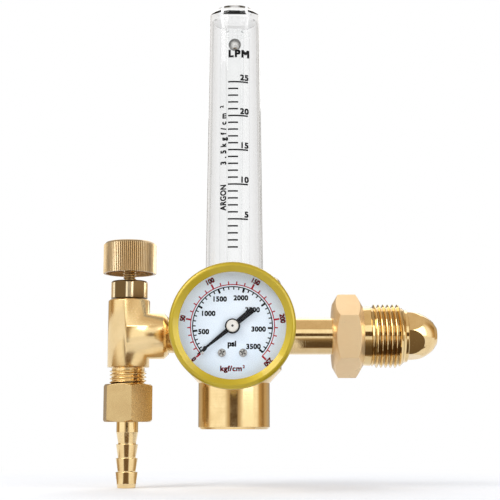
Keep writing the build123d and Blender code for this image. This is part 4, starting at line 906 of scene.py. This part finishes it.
FLOOR_Z = -57.75
FLOOR_LINES = (-700, -300, 0, 300, 700)
FLOOR_FADE_START, FLOOR_FADE_END = 70.0, 240.0
CARD_LIFT = 1
CARD_BACK, CARD_FRONT, CARD_LEFT, CARD_RIGHT = -8, -190, -30, 75
RING_INSIDE, RING_OUTSIDE, RING_STEPS = 6.0, 62.0, 48


def floor_material():
    """A pale studio surface that keeps the object's shadow and runs out to white."""
    recipe = new_material("studio_floor")
    spot = recipe.place(body_spot)
    far = recipe.vector("LENGTH", spot).outputs[1]
    fade = recipe.between(
        far, FLOOR_FADE_START, FLOOR_FADE_END, interpolation_type="SMOOTHSTEP")
    cloud = recipe.noise(spot, 0.02, 3.0)
    tone = recipe.mix(recipe.spread(cloud, 0.0, 1.0), (0.93, 0.94, 0.96), (0.90, 0.915, 0.94))
    surface = recipe.principled({"Base Color": tone, "Roughness": 0.8, "Specular IOR Level": 0.1})
    path = recipe.add("LightPath").outputs
    seen = recipe.math("MAXIMUM", path["Is Camera Ray"], path["Is Glossy Ray"])
    seen = recipe.math("MAXIMUM", seen, path["Is Transmission Ray"])
    white = recipe.glow((1, 1, 1, 1))
    return recipe.end(recipe.either(recipe.math("MULTIPLY", fade, seen), surface, white))


def card_material():
    """A dark studio card that glows, deepest towards the object and paler at its very edge: a
    painted reflection.
    """
    recipe = new_material("studio_card")
    spot = recipe.place(body_spot)
    reach = recipe.between(recipe.parts(spot)[Y], CARD_FRONT, CARD_BACK)
    weave = recipe.noise(spot, 0.8, 3.0)
    tone = recipe.ramp(reach, [
        (0.0, (0.60, 0.46, 0.30)), (0.45, (0.26, 0.19, 0.11)), (0.72, (0.12, 0.08, 0.04)),
        (0.95, (0.10, 0.065, 0.035)), (1.0, (0.42, 0.32, 0.21)),
    ])
    return recipe.end(recipe.glow(recipe.mix(recipe.spread(weave, 0.0, 0.1), tone, (0.2,) * 3)))


def ring_material():
    """Glowing bands of painted reflection: dark in front, bright at both front quarters and warm at
    the sides and behind.
    """
    recipe = new_material("barb_card")
    spot = recipe.place(valve_spot)
    turn = recipe.math("DIVIDE", recipe.from_front(recipe.parts(spot)), pi)
    weave = recipe.noise(spot, 0.8, 3.0)
    tone = recipe.ramp(turn, [
        (0.0, (0.16, 0.10, 0.05)), (0.12, (0.20, 0.13, 0.07)), (0.18, (1.15, 1.15, 1.10)),
        (0.42, (1.05, 1.0, 0.92)), (0.55, (0.55, 0.42, 0.26)), (0.72, (0.42, 0.30, 0.17)),
        (0.9, (0.8, 0.7, 0.5)),
    ])
    tone = recipe.mix(recipe.spread(weave, 0.0, 0.1), tone, (0.5, 0.45, 0.4))
    return recipe.end(recipe.glow(tone))


floor_points = [(BODY_X + x, y, FLOOR_Z) for y in FLOOR_LINES for x in FLOOR_LINES]
floor = mesh_piece("studio_floor", floor_points, grid_faces(5, 4), floor_material(), sharp=0)

# a dark glowing card on the floor in front of the inlet, which only polished metal sees: a painted
# reflection
card_points = [
    (x, y, FLOOR_Z + CARD_LIFT) for y in (CARD_FRONT, CARD_BACK) for x in (CARD_LEFT, CARD_RIGHT)
]
card = mesh_piece("studio_card", card_points, grid_faces(2, 1), card_material(), sharp=0)

# another painted reflection, a ring of glowing bands round the hose barb, whose cones look down at
# the floor
ring_points = []
for reach in (RING_INSIDE, RING_OUTSIDE):
    for step in range(RING_STEPS + 1):
        angle = 2 * pi * step / RING_STEPS
        x, y = VALVE_X + reach * sin(angle), -reach * cos(angle)
        ring_points.append((x, y, FLOOR_Z + CARD_LIFT))
barb_card = mesh_piece(
    "barb_card", ring_points, grid_faces(2, RING_STEPS), ring_material(), sharp=0)
for board in (card, barb_card):
    board.visible_camera = False
    board.visible_diffuse = False
    board.visible_transmission = False
    board.visible_shadow = False

# what metal sees round it, from -Y at 0 by both sides to +Y at 1
PANELS = [
    (0.00, (0.50, 0.38, 0.24)), (0.10, (0.62, 0.50, 0.34)), (0.165, (1.20, 1.20, 1.16)),
    (0.44, (1.20, 1.20, 1.14)), (0.50, (0.62, 0.42, 0.20)), (0.60, (0.30, 0.19, 0.08)),
    (0.66, (0.62, 0.47, 0.28)), (0.80, (0.56, 0.47, 0.35)), (0.95, (0.27, 0.25, 0.22)),
    (0.995, (0.8, 0.8, 0.8)),
]
CEILING, WINDOW, DARK_SIDE = (0.74, 0.62, 0.47), (1.25, 1.25, 1.20), (0.11, 0.07, 0.035)
# the dark oval in front of the object: half its width and height, and its middle over the horizon
DARK_WIDE, DARK_HIGH, DARK_MIDDLE = 13.0, 11.0, 0.03
# through glass: the white background straight behind, grey where the glass bends the view aside
BENT = [(0.0, 0.95), (0.30, 0.85), (0.60, 0.62), (0.80, 0.74), (0.88, 1.0)]
BENT_UP = [(0.66, 1.0), (0.76, 0.70)]
AMBIENT = [(0.0, (0.50, 0.50, 0.52)), (1.0, (0.72, 0.73, 0.76))]
AMBIENT_STRENGTH = 0.95


def studio_world():
    """White to the camera, and through glass straight behind the object. Metal sees a studio:
    bright panels at both sides, warm flats between them, a window above the camera, the dark
    camera side below it and a pale strip of the background behind the object."""
    world = bpy.data.worlds.new("studio")
    recipe = Recipe(world)
    parts = recipe.parts(recipe.add("TexCoord").outputs["Generated"])
    side = recipe.from_front(parts)
    turn = recipe.math("DIVIDE", side, pi)
    # from -1 straight down to 1 straight up
    lift = recipe.math("DIVIDE", recipe.math("ARCSINE", parts[Z]), pi / 2)

    low = recipe.ramp(recipe.half_up(lift), [(0.30, 0.55), (0.46, 1.0)])
    lit = recipe.mix(1.0, recipe.ramp(turn, PANELS), low, "MULTIPLY")
    lit = recipe.mix(recipe.ramp(lift, [(0.34, 0.0), (0.55, 1.0)]), lit, CEILING)
    over = recipe.ramp(lift, [(0.12, 0.0), (0.16, 1.0), (0.40, 1.0), (0.46, 0.0)])
    ahead = recipe.ramp(turn, [(0.16, 1.0), (0.20, 0.0)])
    lit = recipe.mix(recipe.math("MULTIPLY", over, ahead), lit, WINDOW)
    across = recipe.math("MULTIPLY", side, 180 / pi / DARK_WIDE)
    up = recipe.math("MULTIPLY", recipe.math("ADD", lift, -DARK_MIDDLE), 90 / DARK_HIGH)
    apart = recipe.math(
        "ADD", recipe.math("MULTIPLY", across, across), recipe.math("MULTIPLY", up, up))
    apart = recipe.math("MULTIPLY", recipe.math("SQRT", apart), 0.5)
    lit = recipe.mix(recipe.ramp(apart, [(0.40, 1.0), (0.58, 0.0)]), lit, DARK_SIDE)
    mirrored = recipe.backdrop(lit)

    soft = recipe.backdrop(recipe.ramp(recipe.half_up(lift), AMBIENT), AMBIENT_STRENGTH)
    raised = recipe.ramp(recipe.half_up(lift), BENT_UP)
    through = recipe.backdrop(recipe.mix(1.0, recipe.ramp(turn, BENT), raised, "MULTIPLY"))
    white = recipe.backdrop((1, 1, 1, 1))
    path = recipe.add("LightPath").outputs
    shown = recipe.either(path["Is Glossy Ray"], soft, mirrored)
    shown = recipe.either(path["Is Transmission Ray"], shown, through)
    shown = recipe.either(path["Is Camera Ray"], shown, white)
    scene.world = recipe.end(shown, "OutputWorld")


LAMP_AIM = 30.0


def soft_lamp(name, place, size, watts, color):
    """A square soft box that looks at the middle of the object. Its place is in metres."""
    lamp = bpy.data.lights.new(name, "AREA")
    lamp.shape = "SQUARE"
    lamp.size = size
    lamp.energy = watts
    lamp.color = color
    holder = bpy.data.objects.new(name, lamp)
    holder.location = place
    target = Vector((BODY_X, 0, LAMP_AIM)) * MM
    holder.rotation_euler = (target - holder.location).to_track_quat("-Z", "Y").to_euler()
    holder.visible_transmission = False
    scene.collection.objects.link(holder)


studio_world()
soft_lamp("key", (-0.52, -0.42, 0.55), 0.45, 3.2, (1.0, 0.99, 0.97))
soft_lamp("fill", (0.48, -0.50, 0.25), 0.5, 1.6, (0.97, 0.98, 1.0))
soft_lamp("back", (0.05, 0.60, 0.55), 0.6, 1.6, (1.0, 1.0, 1.0))

# fitted to the photograph's outline
CAMERA_PLACE = (-51.87, -446.0, -35.96)
CAMERA_TILT, CAMERA_LENS, CAMERA_SENSOR = 98.896, 82.8, 36.0
eye = bpy.data.cameras.new("camera")
eye.lens = CAMERA_LENS
eye.sensor_width = CAMERA_SENSOR
eye.clip_start = 0.01
camera = bpy.data.objects.new("camera", eye)
camera.location = Vector(CAMERA_PLACE) * MM
camera.rotation_euler = (radians(CAMERA_TILT), 0, 0)
scene.collection.objects.link(camera)
scene.camera = camera

scene.view_settings.view_transform = "Standard"

bpy.context.view_layer.update()
